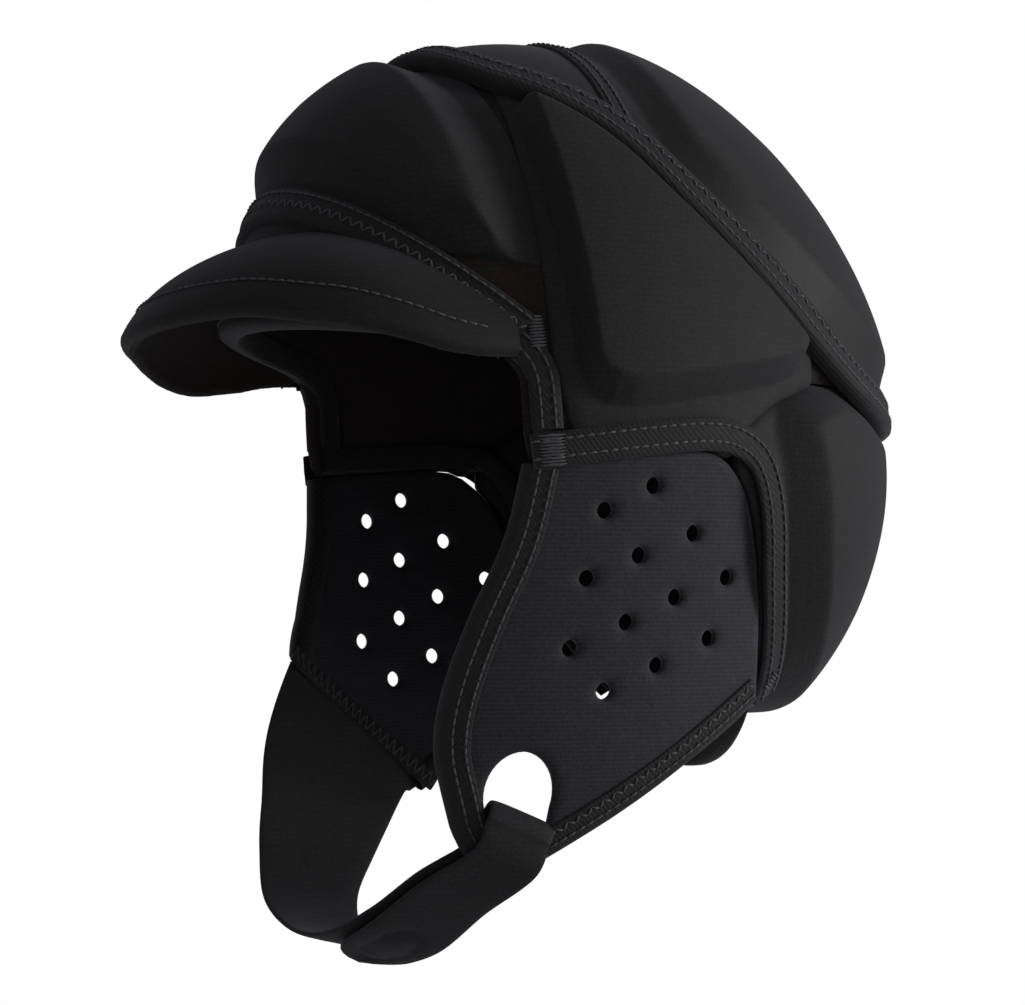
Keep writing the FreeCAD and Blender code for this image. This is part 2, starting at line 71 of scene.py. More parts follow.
class Dome:
    def __init__(self, half, centre, lean=0.0):
        self.half = np.array(half, float)
        self.centre = np.array(centre, float)
        c, s = math.cos(math.radians(lean)), math.sin(math.radians(lean))
        self.turn = np.array([[1, 0, 0], [0, c, -s], [0, s, c]])

    def place(self, points, depth):
        local = (np.asarray(points, float) - self.centre) @ self.turn
        half = self.half - np.asarray(depth, float)[..., None]
        reach = np.sqrt(((local / half) ** 2).sum(-1, keepdims=True))
        return local / reach @ self.turn.T + self.centre

    def normal(self, points):
        local = (np.asarray(points, float) - self.centre) @ self.turn
        out = local / self.half ** 2 @ self.turn.T
        return out / np.linalg.norm(out, axis=-1, keepdims=True)

    def onSide(self, outline, depth):
        # lifts a side view outline (back, up) onto the left half, closing to the mid plane outside it
        back, up = outline[:, 0], outline[:, 1]
        level = np.stack([np.zeros_like(back), back, up], -1)
        local = (level - self.centre) @ self.turn / (self.half - depth)
        fill = (local ** 2).sum(-1)
        side = (self.half[0] - depth) * np.sqrt(np.clip(1 - fill, 0, 1))
        edge = self.place(level, np.full(len(level), depth))
        edge[:, 0] = 0
        lifted = np.stack([side, back, up], -1)
        return np.where((fill < 1)[:, None], lifted, edge), fill < 1


class FlapCurve:
    radius, lean, centreBack, earHalf = 110.0, math.radians(11.3), 8.0, 76.0

    def __init__(self, side):
        self.side = side

    def place(self, points, depth):
        points = np.array(points, float)
        radius = self.radius - np.asarray(depth, float)
        level = np.sqrt(np.maximum(radius ** 2 - (points[..., 1] - self.centreBack) ** 2, 1))
        axis = self.earHalf - self.radius / math.cos(self.lean)
        reach = axis + math.tan(self.lean) * points[..., 2] + level / math.cos(self.lean)
        points[..., 0] = self.side * reach
        return points

    def normal(self, points):
        points = np.asarray(points, float)
        reach = (points[..., 1] - self.centreBack) / self.radius
        out = np.stack([np.sqrt(1 - reach ** 2) * math.cos(self.lean) * self.side,
                        reach, -math.sin(self.lean) * np.ones_like(reach)], -1)
        return out / np.linalg.norm(out, axis=-1, keepdims=True)

    def onSide(self, outline, depth):
        points = np.stack([np.zeros(len(outline)), outline[:, 0], outline[:, 1]], -1)
        return self.place(points, np.full(len(points), depth)), np.ones(len(points), bool)


head = Dome((93, 108.6, 131.8), (0, 12.6, 40), 24.1)
nape = Dome((92, 105, 105), (0, 11, 38))
leftFlap = FlapCurve(1)
rightFlap = FlapCurve(-1)
baseDepth = 9.0
crownDepth = 6.0
linerTop = 10.8
linerDepth = 14.0


# outlines in the side view: back, up

def rounded(points, closed=False, cuts=2):
    # corner cutting, which keeps the ends of an open line
    line = np.array(points, float)
    for _ in range(cuts):
        nxt = np.roll(line, -1, 0)
        a, b = line * 0.75 + nxt * 0.25, line * 0.25 + nxt * 0.75
        if closed:
            line = np.stack([a, b], 1).reshape(-1, line.shape[1])
        else:
            inner = np.stack([a, b], 1).reshape(-1, line.shape[1])[:-2]
            line = np.vstack([line[:1], inner, line[-1:]])
    return line


def spaced(points, step, closed=False):
    line = np.array(points, float)
    if closed:
        line = np.vstack([line, line[:1]])
    run = np.concatenate([[0], np.cumsum(np.linalg.norm(np.diff(line, axis=0), axis=1))])
    count = max(int(round(run[-1] / step)), 3)
    at = np.linspace(0, run[-1], count + 1)
    out = np.stack([np.interp(at, run, line[:, k]) for k in range(line.shape[1])], -1)
    return out[:-1] if closed else out


def acrossHead(form, outline, depth, step=lineStep):
    # a side view line from one mid plane crossing to the other, both sides of the head, as a closed loop
    half, inside = form.onSide(spaced(outline, outlineStep), depth)
    keep = np.flatnonzero(inside)
    half = half[max(keep[0] - 1, 0):keep[-1] + 2]
    other = half[::-1] * np.array([-1, 1, 1])
    return spaced(np.vstack([half, other]), step, True)


def oneSide(form, outline, depth, step=lineStep):
    loop, _ = form.onSide(spaced(outline, outlineStep, True), depth)
    return spaced(loop, step, True)


def openAcross(form, outline, depth, step=lineStep):
    # from the left end over the mid plane to the right end
    half, inside = form.onSide(spaced(outline, outlineStep), depth)
    keep = np.flatnonzero(inside)
    half = half[:keep[-1] + 2]
    other = half[::-1] * np.array([-1, 1, 1])
    return spaced(np.vstack([half, other]), step)


crownEdge = [(-37, 152), (-30, 145.4), (-20.8, 141.8), (-2.7, 130.4), (15.8, 108.9), (39.6, 87.1),
             (66, 62.6), (92, 51), (128, 44), (160, 38)]
crownPadEdge = [(13, 128), (27, 113), (49, 93.5), (74, 74.5), (97, 64), (160, 53)]
browEdge = [(-34.5, 36), (-36, 66), (-60, 72), (-130, 82)]
brimLine = [(-30, 71.8), (-130, 159.4)]
earEdge = [(25, 36), (15, 40), (-2.9, 38.5), (-30, 36.5)]
napeEdge = [(34, 25), (41, 2), (54, -30), (60, -38), (70, -47), (90, -53), (160, -58)]
crossBack = 4.0


# mesh makers

def finished(name, bm, material, body="helmet", place=True):
    mesh = bpy.data.meshes.new(name)
    bm.to_mesh(mesh)
    bm.free()
    mesh.shade_smooth()
    piece = bpy.data.objects.new(name, mesh)
    bpy.context.scene.collection.objects.link(piece)
    mesh.materials.append(material)
    if place:
        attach(piece, body)
    return piece


def faceOut(bm, middle, sign=1):
    # turns the whole shell so that its faces look away from the middle, or towards it
    total = 0.0
    for face in bm.faces:
        total += face.normal.dot(face.calc_center_median() - middle) * face.calc_area()
    if total * sign < 0:
        bmesh.ops.reverse_faces(bm, faces=bm.faces)


def wrapped(columns, rows, mapping, middle=None, sign=1):
    # a flat grid laid over a surface; mapping takes the grid's along and across shares, 0 to 1
    bm = bmesh.new()
    bmesh.ops.create_grid(bm, x_segments=columns, y_segments=rows, size=1.0)
    flat = np.array([v.co for v in bm.verts])
    points = mapping((flat[:, 0] + 1) / 2, (flat[:, 1] + 1) / 2) * mm
    for vert, point in zip(bm.verts, points):
        vert.co = point
    bmesh.ops.remove_doubles(bm, verts=bm.verts, dist=weldGap)
    bmesh.ops.dissolve_degenerate(bm, edges=bm.edges, dist=thinEdge)
    bm.normal_update()
    if middle is None:
        bmesh.ops.recalc_face_normals(bm, faces=bm.faces)
    else:
        faceOut(bm, Vector(middle) * mm, sign)
    return bm


def nearest(points, line):
    # distance from each point to the closest point of a dense line
    tree = kdtree.KDTree(len(line))
    for index, spot in enumerate(line):
        tree.insert(spot, index)
    tree.balance()
    return np.array([tree.find(spot)[2] for spot in points])


def insideOutline(points, outline):
    back, up = points[:, 1], points[:, 2]
    inside = np.zeros(len(points), bool)
    poly = np.array(outline, float)
    for (y0, z0), (y1, z1) in zip(poly, np.roll(poly, -1, 0)):
        crosses = (z0 > up) != (z1 > up)
        at = y0 + (up - z0) * (y1 - y0) / np.where(z1 == z0, 1e-9, z1 - z0)
        inside ^= crosses & (back < at)
    return inside


def eased(value):
    value = np.clip(value, 0, 1)
    return value * value * (3 - 2 * value)


def ripple(points, size, seed):
    return np.array([noise.noise(Vector(p) / size + Vector((seed, 0, 0))) for p in points])


def padHeight(points, pad, padLine, bevel, rise, puff):
    # the moulded pad: flat margin, rounded bevel, then a softly crowned face
    gap = nearest(points, padLine)
    signed = np.where(insideOutline(points, pad), gap, -gap)
    flat = np.clip((signed + bevel / 2) / bevel, -0.1, 1.1)
    soft = 0.09
    foot = np.where(flat < soft, np.clip(flat + soft, 0, 1) ** 2 / (4 * soft), flat)
    face = np.where(foot > 1 - soft, 1 - np.clip(1 + soft - foot, 0, 1) ** 2 / (4 * soft), foot)
    return (rise - puff) * face + puff * (1 - np.exp(-np.clip(signed, 0, 60) / 12))


def panelMesh(form, loop, centre, depth, height, rings=56, skirt=3.0, seamDip=1.3):
    centre = np.array(centre, float)
    count = len(loop)
    ringAt = np.linspace(0, 1, rings) ** 1.25

    def mapping(along, across):
        where = np.interp(along, np.linspace(0, 1, count + 1), np.arange(count + 1)) % count
        low = np.floor(where).astype(int)
        part = (where - low)[:, None]
        edge = loop[low % count] * (1 - part) + loop[(low + 1) % count] * part
        row = np.round(across * (rings + 1)).astype(int)
        share = np.where(row < 2, 0, ringAt[np.clip(row - 2, 0, rings - 1)])[:, None]
        flat = form.place(edge * (1 - share) + centre * share, np.full(len(edge), depth))
        fromSeam = nearest(flat, loop)
        lift = -seamDip * np.exp(-fromSeam / 1.6)
        if height:
            lift = lift + height(flat)
        lift = lift + 0.16 * ripple(flat, 17.0, 3.1) * eased(fromSeam / 6)
        lift = np.where(row == 0, -skirt, lift)
        return form.place(flat, depth - lift)

    return wrapped(count, rings + 1, mapping, form.centre)


def lineFrame(form, line, inward, closedLine=False):
    # out of the cloth, and across the line towards the inward point
    if closedLine:
        ahead = np.roll(line, -1, 0) - np.roll(line, 1, 0)
    else:
        ahead = np.gradient(line, axis=0)
    ahead /= np.linalg.norm(ahead, axis=1, keepdims=True)
    out = form.normal(line)
    side = np.cross(out, ahead)
    side /= np.linalg.norm(side, axis=1, keepdims=True)
    toward = np.array(inward, float) - line
    if np.sign((side * toward).sum(1)).mean() < 0:
        side = -side
    return out, side


def bandMesh(form, line, section, closedLine, inward, depth=baseDepth, closedSection=False):
    # sweeps a section (inward, raised) along a line on a form; inward is a point on the wanted side
    line = np.array(line, float)
    _, side = lineFrame(form, line, inward, closedLine)
    section = np.array(section, float)
    columns = len(line) if closedLine else len(line) - 1
    rows = len(section) if closedSection else len(section) - 1

    def mapping(along, across):
        i = np.round(along * columns).astype(int) % len(line)
        j = np.round(across * rows).astype(int) % len(section)
        moved = line[i] + side[i] * section[j, :1]
        return form.place(moved, depth - section[j, 1])

    middle = None if closedSection else form.centre if isinstance(form, Dome) else (0, 8, 0)
    return wrapped(columns, rows, mapping, middle)


def tapeSection(wide, thick=0.9, drop=0.0, lip=0.5):
    # a flat tape with rolled edges; drop tucks its outer edge down over a step
    steps = [(-lip * 0.4, -drop - 0.3), (-lip * 0.5, -drop * 0.5), (0, thick * 0.55), (lip, thick * 0.95)]
    for share in (0.25, 0.5, 0.75):
        dip = 0.12 * math.sin(math.pi * share * 2) ** 2
        steps.append((lip + (wide - 2 * lip) * share, thick * (1.0 - dip)))
    return steps + [(wide - lip, thick * 0.95), (wide - 0.1, thick * 0.5), (wide, -0.3)]


def wrapSection(wide, thick, sheet):
    # a binding folded round the edge of a sheet of the given thickness
    mid = -sheet / 2
    outer = [(wide, -0.3), (wide - 0.2, thick * 0.6), (wide - 0.7, thick), (wide / 2, thick * 0.92),
             (0.6, thick)]
    edge = [(-0.5, thick * 0.45), (-thick, -0.9), (-thick - 0.15, mid), (-thick, 0.9 - sheet)]
    inner = [(-0.5, -sheet - thick * 0.45), (0.6, -sheet - thick), (wide / 2, -sheet - thick * 0.92),
             (wide - 0.7, -sheet - thick), (wide, -sheet + 0.3)]
    return outer + edge + inner


stitchLook = {"pitch": 3.0, "thick": 0.7, "rise": 0.14, "around": 6,
              # each bead of a stitch: share of its run, thickness, lift
              "beads": [(0.03, 0.12, -0.25), (0.16, 0.8, 0.0), (0.5, 1.0, 0.12), (0.84, 0.8, 0.0),
                        (0.97, 0.12, -0.25)]}


def stitches(target, form, line, inset, raised, inward, depth=baseDepth, zigzag=0.0,
             pitch=stitchLook["pitch"], closedLine=False, skew=None):
    # one beaded tube of thread laid along a line; zigzag swings its ends from side to side
    line = spaced(line, pitch, closedLine)
    if closedLine:
        line = np.vstack([line, line[:1]])
    out, side = lineFrame(form, line, inward)
    lean = np.where(np.arange(len(line)) % 2, zigzag / 2, -zigzag / 2)[:, None]
    lifted = np.full(len(line), depth - raised - stitchLook["rise"])
    corners = form.place(line + side * (inset + lean), lifted)
    if skew:
        corners = skew(corners)
    beads = np.array(stitchLook["beads"])
    count = len(line) - 1
    columns = count * len(beads) - 1

    def mapping(along, across):
        step = np.round(along * columns).astype(int)
        i, k = step // len(beads), step % len(beads)
        run = corners[i + 1] - corners[i]
        spot = corners[i] + run * beads[k, :1] + out[i] * beads[k, 2:]
        run = run / np.linalg.norm(run, axis=1, keepdims=True)
        flank = np.cross(out[i], run)
        turn = across * 2 * math.pi
        size = stitchLook["thick"] / 2 * beads[k, 1]
        return spot + flank * (np.cos(turn) * size)[:, None] + out[i] * (np.sin(turn) * size)[:, None]

    merged(target, wrapped(columns, stitchLook["around"], mapping))


def merged(target, extra):
    mesh = bpy.data.meshes.new("extra")
    extra.to_mesh(mesh)
    extra.free()
    target.from_mesh(mesh)
    bpy.data.meshes.remove(mesh)


# cloth and thread: materials

class Wire:
    # one shader socket that can be written in sums
    def __init__(self, shader, socket):
        self.shader, self.socket = shader, socket

    def join(self, operation, other, flip=False):
        pair = (other, self) if flip else (self, other)
        return self.shader.node("ShaderNodeMath", {"operation": operation}, {0: pair[0], 1: pair[1]})

    def __add__(self, other):
        return self.join("ADD", other)

    def __radd__(self, other):
        return self.join("ADD", other, True)

    def __sub__(self, other):
        return self.join("SUBTRACT", other)

    def __rsub__(self, other):
        return self.join("SUBTRACT", other, True)

    def __mul__(self, other):
        return self.join("MULTIPLY", other)

    def __rmul__(self, other):
        return self.join("MULTIPLY", other, True)


class Shader:
    # the nodes of a material or of the world
    def __init__(self, owner, surface="Principled BSDF"):
        owner.use_nodes = True
        self.owner = owner
        self.tree = owner.node_tree
        self.surface = self.tree.nodes[surface]

    def node(self, kind, settings=None, sockets=None, output=0):
        made = self.tree.nodes.new(kind)
        for key, value in (settings or {}).items():
            if key == "stops":
                ramp = made.color_ramp
                ramp.elements[0].position, ramp.elements[0].color = value[0]
                ramp.elements[1].position, ramp.elements[1].color = value[-1]
                for position, color in value[1:-1]:
                    ramp.elements.new(position).color = color
            else:
                setattr(made, key, value)
        for key, value in (sockets or {}).items():
            self.feed(made.inputs[key], value)
        return Wire(self, made.outputs[output])

    def feed(self, target, value):
        if isinstance(value, Wire):
            self.tree.links.new(value.socket, target)
        else:
            target.default_value = value

    def set(self, **values):
        for key, value in values.items():
            self.feed(self.surface.inputs[key.replace("_", " ")], value)


def clothMaterial(name, dark, light, look):
    s = Shader(bpy.data.materials.new(name))
    place = s.node("ShaderNodeTexCoord", output=3)
    broad = s.node("ShaderNodeTexNoise", {},
                   {"Vector": place, "Scale": look.get("broad", 38.0), "Detail": 3.0})
    fibre = s.node("ShaderNodeTexNoise", {},
                   {"Vector": place, "Scale": look.get("fibre", 1500.0), "Detail": 2.0, "Roughness": 0.7})
    knit = s.node("ShaderNodeTexVoronoi", {"feature": "SMOOTH_F1"},
                  {"Vector": place, "Scale": look.get("knit", 1150.0), "Smoothness": 0.6})
    rib = s.node("ShaderNodeTexWave", {"wave_type": "BANDS", "bands_direction": look.get("ribs", "Z")},
                 {"Vector": place, "Scale": look.get("ribScale", 190.0), "Distortion": 1.2, "Detail": 1.0,
                  "Detail Scale": 2.0})
    lint = s.node("ShaderNodeTexNoise", {},
                  {"Vector": place, "Scale": 420.0, "Detail": 4.0, "Roughness": 0.8})
    speck = s.node("ShaderNodeValToRGB", {"stops": [(0.66, (0, 0, 0, 1)), (0.78, (1, 1, 1, 1))]}, {0: lint})
    weave = fibre * 0.6 + knit * 0.3 + rib * look.get("ribAmount", 0.08)
    shade = weave * 0.85 + broad * 0.3
    tint = s.node("ShaderNodeValToRGB", {"stops": [(0.36, (*dark, 1)), (0.78, (*light, 1))]}, {0: shade})
    dusty = s.node("ShaderNodeMix", {"data_type": "RGBA"},
                   {0: speck * look.get("lint", 0.12), 6: tint, 7: (*[c * 2.4 + 0.004 for c in light], 1)}, 2)
    bump = s.node("ShaderNodeBump", {},
                  {"Strength": look.get("bump", 0.35), "Distance": 0.0004, "Height": weave})
    rough = broad * 0.2 + fibre * 0.18 + look.get("rough", 0.52)
    s.set(Base_Color=dusty, Roughness=rough, Normal=bump)
    s.surface.inputs["Sheen Weight"].default_value = look.get("sheen", 0.12)
    s.surface.inputs["Sheen Roughness"].default_value = 0.5
    s.surface.inputs["Sheen Tint"].default_value = (0.75, 0.74, 0.82, 1)
    s.surface.inputs["Specular IOR Level"].default_value = look.get("specular", 0.3)
    return s.owner


def plainFoam(name, tone):
    s = Shader(bpy.data.materials.new(name))
    place = s.node("ShaderNodeTexCoord", output=3)
    cells = s.node("ShaderNodeTexVoronoi", {}, {"Vector": place, "Scale": 1400.0})
    stops = [(0.1, (tone, tone, tone, 1)), (0.8, (tone * 1.6,) * 3 + (1,))]
    tint = s.node("ShaderNodeValToRGB", {"stops": stops}, {0: cells})
    bump = s.node("ShaderNodeBump", {}, {"Strength": 0.4, "Distance": 0.0003, "Height": cells})
    s.set(Base_Color=tint, Roughness=0.85, Normal=bump)
    return s.owner


panelCloth = clothMaterial("panelCloth", (0.0052, 0.0048, 0.0053), (0.0215, 0.0198, 0.0214), {"sheen": 0.10})
crownCloth = clothMaterial("crownCloth", (0.0048, 0.0044, 0.0048), (0.0175, 0.0162, 0.0176),
                           {"sheen": 0.10, "rough": 0.42, "bump": 0.2, "knit": 1700.0})
brimCloth = clothMaterial("brimCloth", (0.0042, 0.0039, 0.0042), (0.0155, 0.0143, 0.0152), {"sheen": 0.10})
flapCloth = clothMaterial("flapCloth", (0.0075, 0.0074, 0.0094), (0.0285, 0.0280, 0.0345),
                          {"sheen": 0.16, "knit": 900.0, "bump": 0.45, "ribAmount": 0.2, "ribScale": 260.0})
liningCloth = clothMaterial("liningCloth", (0.012, 0.0090, 0.0076), (0.030, 0.0225, 0.0190),
                            {"sheen": 0.06, "rough": 0.7, "specular": 0.15, "fibre": 1100.0})
tapeCloth = clothMaterial("tapeCloth", (0.0045, 0.0042, 0.0045), (0.0165, 0.0152, 0.0163),
                          {"sheen": 0.12, "ribAmount": 0.35, "ribScale": 330.0, "ribs": "DIAGONAL",
                           "bump": 0.5})
strapCloth = clothMaterial("strapCloth", (0.0065, 0.0060, 0.0068), (0.0235, 0.0215, 0.0245), {"sheen": 0.12})
loopCloth = clothMaterial("loopCloth", (0.006, 0.006, 0.006), (0.02, 0.02, 0.02),
                          {"sheen": 0.25, "fibre": 900.0, "bump": 0.8})
threadCloth = clothMaterial("threadCloth", (0.022, 0.021, 0.023), (0.075, 0.071, 0.077),
                            {"rough": 0.4, "ribAmount": 0.5, "ribScale": 900.0, "specular": 0.5})
foamLook = plainFoam("foamLook", 0.03)
print("materials made")


# moulded panels

def padLines(form, pad, both, depth):
    # the pad's outline on the form, dense even where it runs over the mid plane
    lifted, inside = form.onSide(spaced(pad, outlineStep, True), depth)
    start = int(np.argmin(inside))
    lifted, inside = np.roll(lifted, -start, 0), np.roll(inside, -start)
    wanted = inside | np.roll(inside, 1) | np.roll(inside, -1)
    runs, run = [], []
    for spot, good in zip(lifted, wanted):
        if good:
            run.append(spot)
        elif run:
            runs.append(run)
            run = []
    if run:
        runs.append(run)
    lines = [form.place(spaced(run, 0.6), np.array(depth)) for run in runs if len(run) > 2]
    lifted = np.vstack(lines)
    if both:
        lifted = np.vstack([lifted, lifted * np.array([-1, 1, 1])])
    return lifted


def mirrorMesh(bm):
    twin = bm.copy()
    for vert in twin.verts:
        vert.co.x = -vert.co.x
    bmesh.ops.reverse_faces(twin, faces=twin.faces)
    return twin


panels = {
    "crown_front": {
        "form": head, "across": True, "depth": crownDepth, "slot": "crown_smooth", "cloth": crownCloth,
        "edge": [(-37, 152), (-30, 145.4), (-20.8, 141.8), (-2.7, 130.4), (crossBack, 122.6),
                 (crossBack, 190)],
        "centre": (0, -16, 158), "pad": None},
    "crown_rear": {
        "form": head, "across": True, "depth": crownDepth, "slot": "crown_smooth", "cloth": crownCloth,
        "edge": [(crossBack, 190), (crossBack, 122.6), (15.8, 108.9), (39.6, 87.1), (66, 62.6), (92, 51),
                 (128, 44), (160, 38)],
        "centre": (0, 74, 135), "bevel": 9.0, "rise": 6.0, "puff": 1.2,
        "pad": [(crossBack + 11, 220)] + [(crossBack + 11, 131)] + crownPadEdge[1:] + [(160, 220)]},
    "front_panel": {
        "form": head, "across": True, "depth": baseDepth, "slot": "panel_black", "cloth": panelCloth,
        "edge": [(-37, 160), (-37, 152), (-30, 145.4), (-30, 71.8), (-130, 159.4)],
        "centre": (0, -62, 135), "bevel": 9.5, "rise": 9.0, "puff": 1.6,
        "pad": [(-45.5, 220), (-44, 150), (-40.5, 117), (-39, 98), (-40.5, 89.5), (-130, 169), (-130, 220)]},
    "side_panel": {
        "form": head, "across": False, "depth": baseDepth, "slot": "panel_black", "cloth": panelCloth,
        "edge": crownEdge[1:7] + [(33, 50.5)] + earEdge,
        "centre": (75, 12, 85), "bevel": 6.0, "rise": 8.8, "puff": 0.7,
        "pad": [(-24.2, 136), (-23.5, 108.2), (-21.5, 79.8), (-20, 52), (12.9, 56.5), (55, 64.5),
                (39.6, 80.6), (15.8, 102.4), (-2.7, 123.9), (-18.5, 135.6)]},
    "rear_panel": {
        "form": nape, "across": False, "depth": baseDepth, "slot": "panel_black", "cloth": panelCloth,
        "edge": [(25, 36), (33, 50.5), (66, 62.6), (92, 51), (128, 44), (160, 40), (160, -58), (90, -53),
                 (70, -47), (60, -38), (54, -30), (41, 2), (34, 25)],
        "centre": (60, 78, 8), "bevel": 9.5, "rise": 9.0, "puff": 1.2, "inner": 9.0,
        "pad": [(43, 50), (64, 57.5), (92, 45.5), (160, 32), (160, -46), (90, -43), (76, -38), (69, -28),
                (60, -10), (53.5, 9), (48.5, 36)]},
}

for label, look in panels.items():
    form, both = look["form"], look["across"]
    edge = rounded(look["edge"], not both, 1) if label != "crown_front" else np.array(look["edge"], float)
    if both:
        loop = acrossHead(form, edge, look["depth"])
    else:
        loop = oneSide(form, edge, look["depth"])
    height = None
    if look["pad"]:
        pad = rounded(look["pad"], True, 2)
        lines = padLines(form, pad, both, look["depth"])
        inner = look.get("inner")

        def height(points):
            lift = padHeight(points, pad, lines, look["bevel"], look["rise"], look["puff"])
            if inner:
                lift = np.minimum(lift, look["rise"] * eased((np.abs(points[:, 0]) - 3) / inner))
            return lift

    bm = panelMesh(form, loop, look["centre"], look["depth"], height)
    if both:
        piece = finished(label + "Cloth", bm, look["cloth"])
        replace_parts(piece, label + "_cover", label + "_foam")
    else:
        for side, mesh in (("right", mirrorMesh(bm)), ("left", bm)):
            piece = finished(side + "_" + label + "Cloth", mesh, look["cloth"])
            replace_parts(piece, "%s_%s_cover" % (side, label), "%s_%s_foam" % (side, label))
    print("panel", label)


# brow band and linings

def between(form, lineA, lineB, depth, columns, rows, middle, sign=1):
    lineA, lineB = np.array(lineA), np.array(lineB)

    def mapping(along, across):
        def at(line):
            where = along * (len(line) - 1)
            return np.stack([np.interp(where, np.arange(len(line)), line[:, k]) for k in range(3)], -1)
        share = across[:, None]
        return form.place(at(lineA) * (1 - share) + at(lineB) * share, np.full(len(along), depth))

    return wrapped(columns, rows, mapping, middle, sign)


browLow = openAcross(head, rounded(browEdge, cuts=2), baseDepth)
browHigh = openAcross(head, rounded([(-30, 36.5)] + brimLine, cuts=1), baseDepth)
browMesh = between(head, browLow, browHigh, baseDepth + 0.2, 260, 14, head.centre)
brow = finished("browBand", browMesh, panelCloth)
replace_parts(brow, "brow_band")


def liningMesh(form, loop, centre, outer, inner, rings):
    centre = np.array(centre, float)
    count = len(loop)

    def mapping(along, across):
        # rows run from the inner wall's middle over the edge to the outer wall's middle
        index = np.round(along * count).astype(int) % count
        share = np.abs(across * 2 - 1)
        flat = loop[index] * (1 - share[:, None]) + centre * share[:, None]
        depth = np.where(across > 0.5, outer, inner)
        depth = np.where(share < 0.001, (outer + inner) / 2, depth)
        return form.place(flat, depth)

    return wrapped(count, rings * 2, mapping)


headLine = [(160, 38), (128, 44), (92, 51), (66, 62.6), (33, 50.5)] + earEdge + browEdge
headLoop = acrossHead(head, rounded(headLine, cuts=1), linerDepth)
headMesh = liningMesh(head, headLoop, (0, 20, 150), linerTop, linerDepth, 44)
lining = finished("innerLining", headMesh, liningCloth)
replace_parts(lining, "inner_liner")
napeLine = [(160, 40), (128, 44), (92, 51), (66, 62.6), (33, 50.5), (25, 36)] + napeEdge
napeLoop = acrossHead(nape, rounded(napeLine, cuts=1), linerDepth)
napeMesh = liningMesh(nape, napeLoop, (0, 112, 5), linerTop, linerDepth, 30)
napeLining = finished("napeLining", napeMesh, liningCloth)
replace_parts(napeLining, "nape_liner")
print("linings made")


# brim: a short springy peak

brimLook = {"half": (76, 86, 49.2), "centre": (0, -38, 62.5), "thick": 5.2, "skew": 0.10, "drop": 4.5,
            "flatShare": 0.84, "lipShare": 0.16, "stitchShare": 0.78,
            "edge": [(-30, 67), (-60, 66), (-80, 67.5), (-94, 70), (-108, 74), (-140, 76)]}
brimForm = Dome(brimLook["half"], brimLook["centre"])


def brimSkew(points):
    # the soft peak hangs a little lower on the wearer's right
    points = np.array(points, float)
    ahead = eased((-45 - points[:, 1]) / 45)
    points[:, 2] += brimLook["skew"] * points[:, 0] * ahead
    return points


def brimRuns(depth, count):
    # for each bearing, the highest and lowest latitude of the brim's surface
    bearings = np.linspace(-89, 89, count)
    rise = np.radians(np.linspace(88, -8, 700))
    half = np.array(brimLook["half"]) - depth
    edge = np.array(brimLook["edge"])
    runs = []
    for bearing in np.radians(bearings):
        points = np.stack([half[0] * np.cos(rise) * math.sin(bearing),
                           -half[1] * np.cos(rise) * math.cos(bearing) + brimLook["centre"][1],
                           half[2] * np.sin(rise) + brimLook["centre"][2]], -1)
        local = (points - head.centre) @ head.turn / (head.half - 9.3)
        buried = (local ** 2).sum(-1) < 1
        above = points[:, 2] > np.interp(-points[:, 1], -edge[:, 0], edge[:, 1])
        top = np.flatnonzero(buried & above)
        low = np.flatnonzero(above)[-1]
        first = top[-1] if len(top) else 0
        runs.append((bearing, rise[min(first, low - 4)], rise[low]))
    return np.array(runs)


def brimPoint(depth, bearing, rise):
    half = np.array(brimLook["half"])[:, None] - depth
    return np.stack([half[0] * np.cos(rise) * np.sin(bearing),
                     -half[1] * np.cos(rise) * np.cos(bearing) + brimLook["centre"][1],
                     half[2] * np.sin(rise) + brimLook["centre"][2]], -1)


runsOut = brimRuns(0.0, 181)
runsIn = brimRuns(brimLook["thick"], 181)


def brimAt(runs, along):
    at = along * (len(runs) - 1)
    return [np.interp(at, np.arange(len(runs)), runs[:, k]) for k in range(3)]


def brimShell(upper):
    half = brimLook["thick"] / 2

    def mapping(along, across):
        bearing, high, _ = brimAt(runsOut if upper else runsIn, along)
        lowOut = brimAt(runsOut, along)[2]
        # the last sixth of the rows rolls round the lip
        flat = np.clip(across / brimLook["flatShare"], 0, 1)
        roll = np.clip((across - brimLook["flatShare"]) / brimLook["lipShare"], 0, 1) * math.pi / 2
        rise = high + (lowOut - high) * flat
        depth = half - half * np.cos(roll) if upper else half + half * np.cos(roll)
        points = brimPoint(depth, bearing, rise)
        points[:, 2] -= half * np.sin(roll) + brimLook["drop"] * (1 - flat) ** 1.5
        points[:, 2] -= 0.35 * np.exp(-((flat - brimLook["stitchShare"]) / 0.03) ** 2) * (1 if upper else -1)
        return brimSkew(points)

    return wrapped(180, 30, mapping, brimLook["centre"], 1 if upper else -1)


brimTop = finished("brimTopCloth", brimShell(True), brimCloth)
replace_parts(brimTop, "brim_top_cover")
brimUnder = finished("brimUnderCloth", brimShell(False), liningCloth)
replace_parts(brimUnder, "brim_under_cover")


def brimCoreMesh():
    def mapping(along, across):
        bearing, high, low = brimAt(runsIn, along)
        around = across * 2 * math.pi
        flat = 0.45 - 0.42 * np.cos(around)
        depth = brimLook["thick"] / 2 - 1.1 * np.sin(around)
        points = brimPoint(depth, bearing * 0.96, high + (low - high) * flat)
        points[:, 2] -= brimLook["drop"] * (1 - flat) ** 1.5
        return brimSkew(points)
    return wrapped(120, 24, mapping)


def brimStitchLine(share):
    bearing, high, low = runsOut[6:-6].T
    line = brimPoint(0.0, bearing, high + (low - high) * share)
    line[:, 2] -= brimLook["drop"] * (1 - share) ** 1.5
    return line


